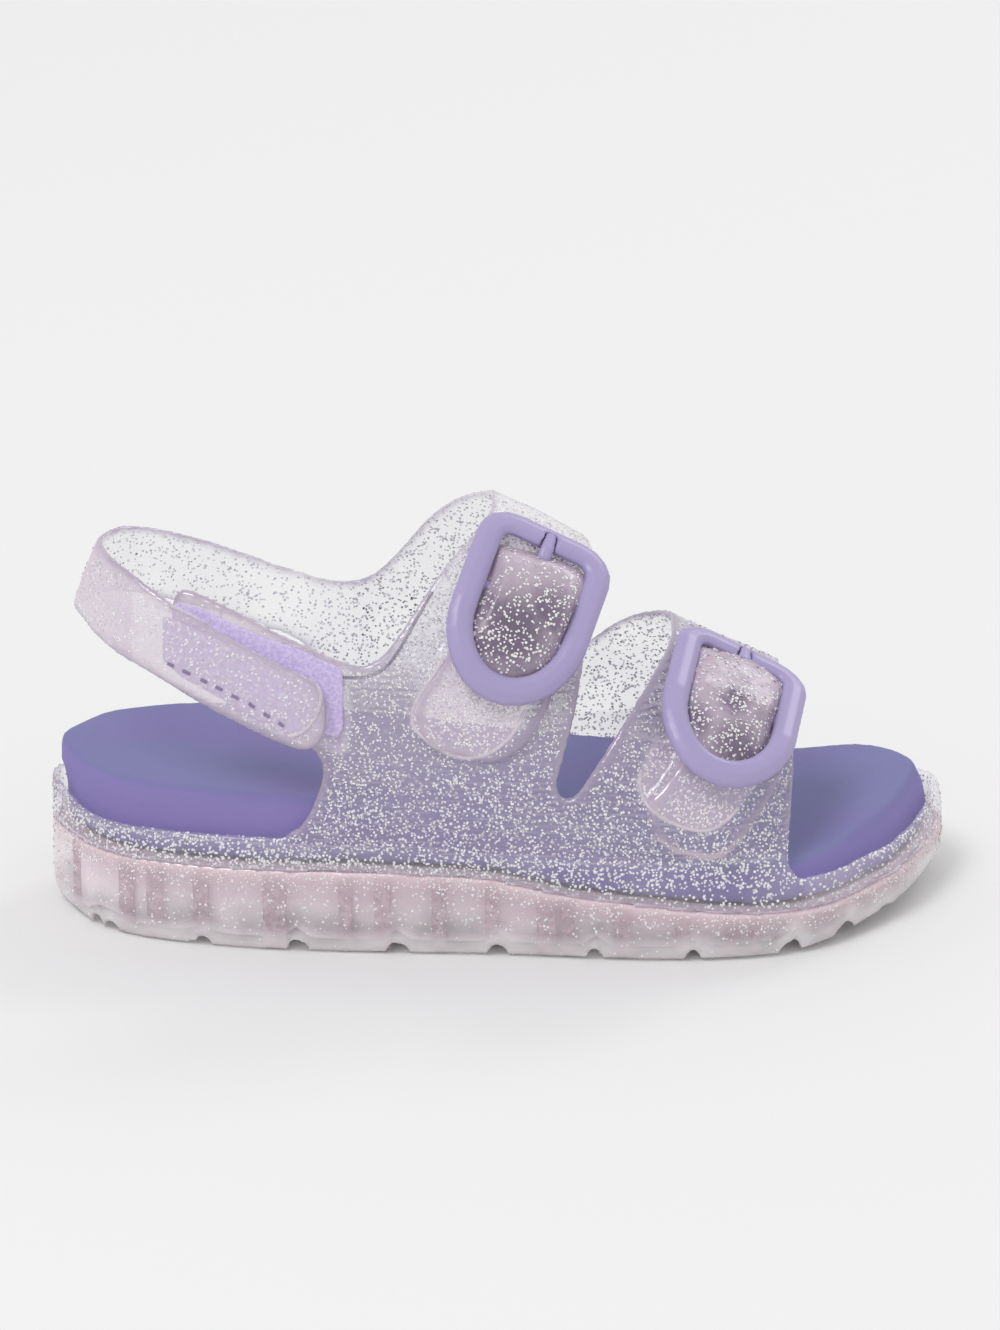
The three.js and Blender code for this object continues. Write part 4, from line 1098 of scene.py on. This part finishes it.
far_flakes = glitter(upper, "upper_glitter_inner", 520000, FACE_DEPTH, FLAKE_SIZE * 0.95, 13)
keep(outsole, "outward", np.ones(len(outsole.data.vertices)))
band_kept = np.array([v.value for v in outsole.data.attributes["band"].data])
floor_light_kept = np.array([v.value for v in outsole.data.attributes["low"].data])
keep(outsole, "crowd", (0.45 + 1.1 * band_kept) * (1 - 0.8 * floor_light_kept))
sole_flakes = glitter(outsole, "sole_glitter", 800000, -0.00004, FLAKE_SIZE * 0.85, 23)
flakes = [(deep_flakes, "jelly"), (face_flakes, "jelly"), (far_flakes, "jelly"), (sole_flakes, "sole_jelly")]
for k, piece in enumerate(humps):
    hump_flakes = glitter(piece, piece.name + "_glitter", 1200000, -0.00012, FLAKE_SIZE, 31 + k)
    flakes.append((hump_flakes, "jelly"))
for piece, slot_name in flakes:
    piece.data.materials.append(flake)
    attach(piece, "root")

# Hook and loop tape
# Pale lilac woven tape. The loop side is stitched to the outside of the tab and the hook side to the
# inside of the heel strap, and the two are pressed together.
PAD_VOXEL = 0.0003
PAD_ROUNDS = 10
PAD_GIVE = 0.0002
PAD_LILAC = (0.52, 0.43, 0.70, 1)
PAD_PALE = (0.64, 0.55, 0.80, 1)
tape, nodes, links, shader = material("lilac_tape")
fuzz = noise(nodes, 1500, 3)
colour = blend(nodes, links, spread(nodes, links, fuzz, 0.35, 0.65, 0, 1), PAD_LILAC, PAD_PALE)
links.new(colour, shader.inputs["Base Color"])
shader.inputs["Roughness"].default_value = 0.8
bumped(nodes, links, shader, fuzz, 0.6, 0.0003)
for node, name in (("loop_patch", "loop_tape"), ("hook_patch", "hook_tape")):
    patch = moulded_copy(node, name, PAD_VOXEL, PAD_ROUNDS, PAD_GIVE)
    patch.data.materials.append(tape)
    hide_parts(node)
    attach(patch, "root")

# Buckles
# Two moulded lilac plastic frames, each with a middle bar and a prong of the same plastic. Each hangs on
# the end of a side panel, and its prong goes through a hole in the strap.
BUCKLE_VOXEL = 0.00035
PRONG_VOXEL = 0.00025
BUCKLE_ROUNDS = 5
BUCKLE_GIVE = 0.00014
BUCKLE_LILAC = (0.355, 0.305, 0.525, 1)
BUCKLE_PALE = (0.385, 0.33, 0.55, 1)
lilac, nodes, links, shader = material("lilac_plastic")
colour = blend(nodes, links, noise(nodes, 60, 2), BUCKLE_LILAC, BUCKLE_PALE)
links.new(colour, shader.inputs["Base Color"])
shader.inputs["Roughness"].default_value = 0.34
bumped(nodes, links, shader, noise(nodes, 900, 2), 0.12, 0.0002)
for node in ("buckle_instep", "buckle_front", "prong_instep", "prong_front"):
    voxel = PRONG_VOXEL if node.startswith("prong") else BUCKLE_VOXEL
    part = moulded_copy(node, node + "_plastic", voxel, BUCKLE_ROUNDS, BUCKLE_GIVE)
    part.data.materials.append(lilac)
    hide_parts(node)
    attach(part, "root")

# Floor and lights
# A plain pale paper floor in an evenly lit pale room. One large soft lamp stands in front to the left,
# and a weaker one behind to the right.
FLOOR_PALE = (0.805, 0.805, 0.805, 1)
ROOM_LIGHT = 0.765
bpy.ops.object.select_all(action="DESELECT")
bpy.ops.mesh.primitive_plane_add(size=12, location=(0, 0, 0))
floor = bpy.context.object
floor.name = "floor"
paper, nodes, links, shader = material("pale_floor")
shader.inputs["Base Color"].default_value = FLOOR_PALE
shader.inputs["Roughness"].default_value = 0.9
shader.inputs["Specular IOR Level"].default_value = 0.1
floor.data.materials.append(paper)
floor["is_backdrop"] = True

room = bpy.data.worlds.new("pale_room")
room.use_nodes = True
room.node_tree.nodes["Background"].inputs["Color"].default_value = (1, 1, 1, 1)
room.node_tree.nodes["Background"].inputs["Strength"].default_value = ROOM_LIGHT
bpy.context.scene.world = room


def lamp(name, place, target, size, power):
    """A large soft lamp that faces a point."""
    bpy.ops.object.select_all(action="DESELECT")
    bpy.ops.object.light_add(type="AREA", location=place)
    made = bpy.context.object
    made.name = name
    made.data.shape = "DISK"
    made.data.size = size
    made.data.energy = power
    made.rotation_euler = (Vector(place) - Vector(target)).to_track_quat("Z", "Y").to_euler()


lamp("key_lamp", (-1.2, -1.6, 3.0), (0, 0.1, 0.03), 1.4, 42)
lamp("rim_lamp", (1.4, 1.6, 1.6), (0, 0, 0.05), 0.9, 9)
bpy.context.scene.view_settings.view_transform = "Standard"

low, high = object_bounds()
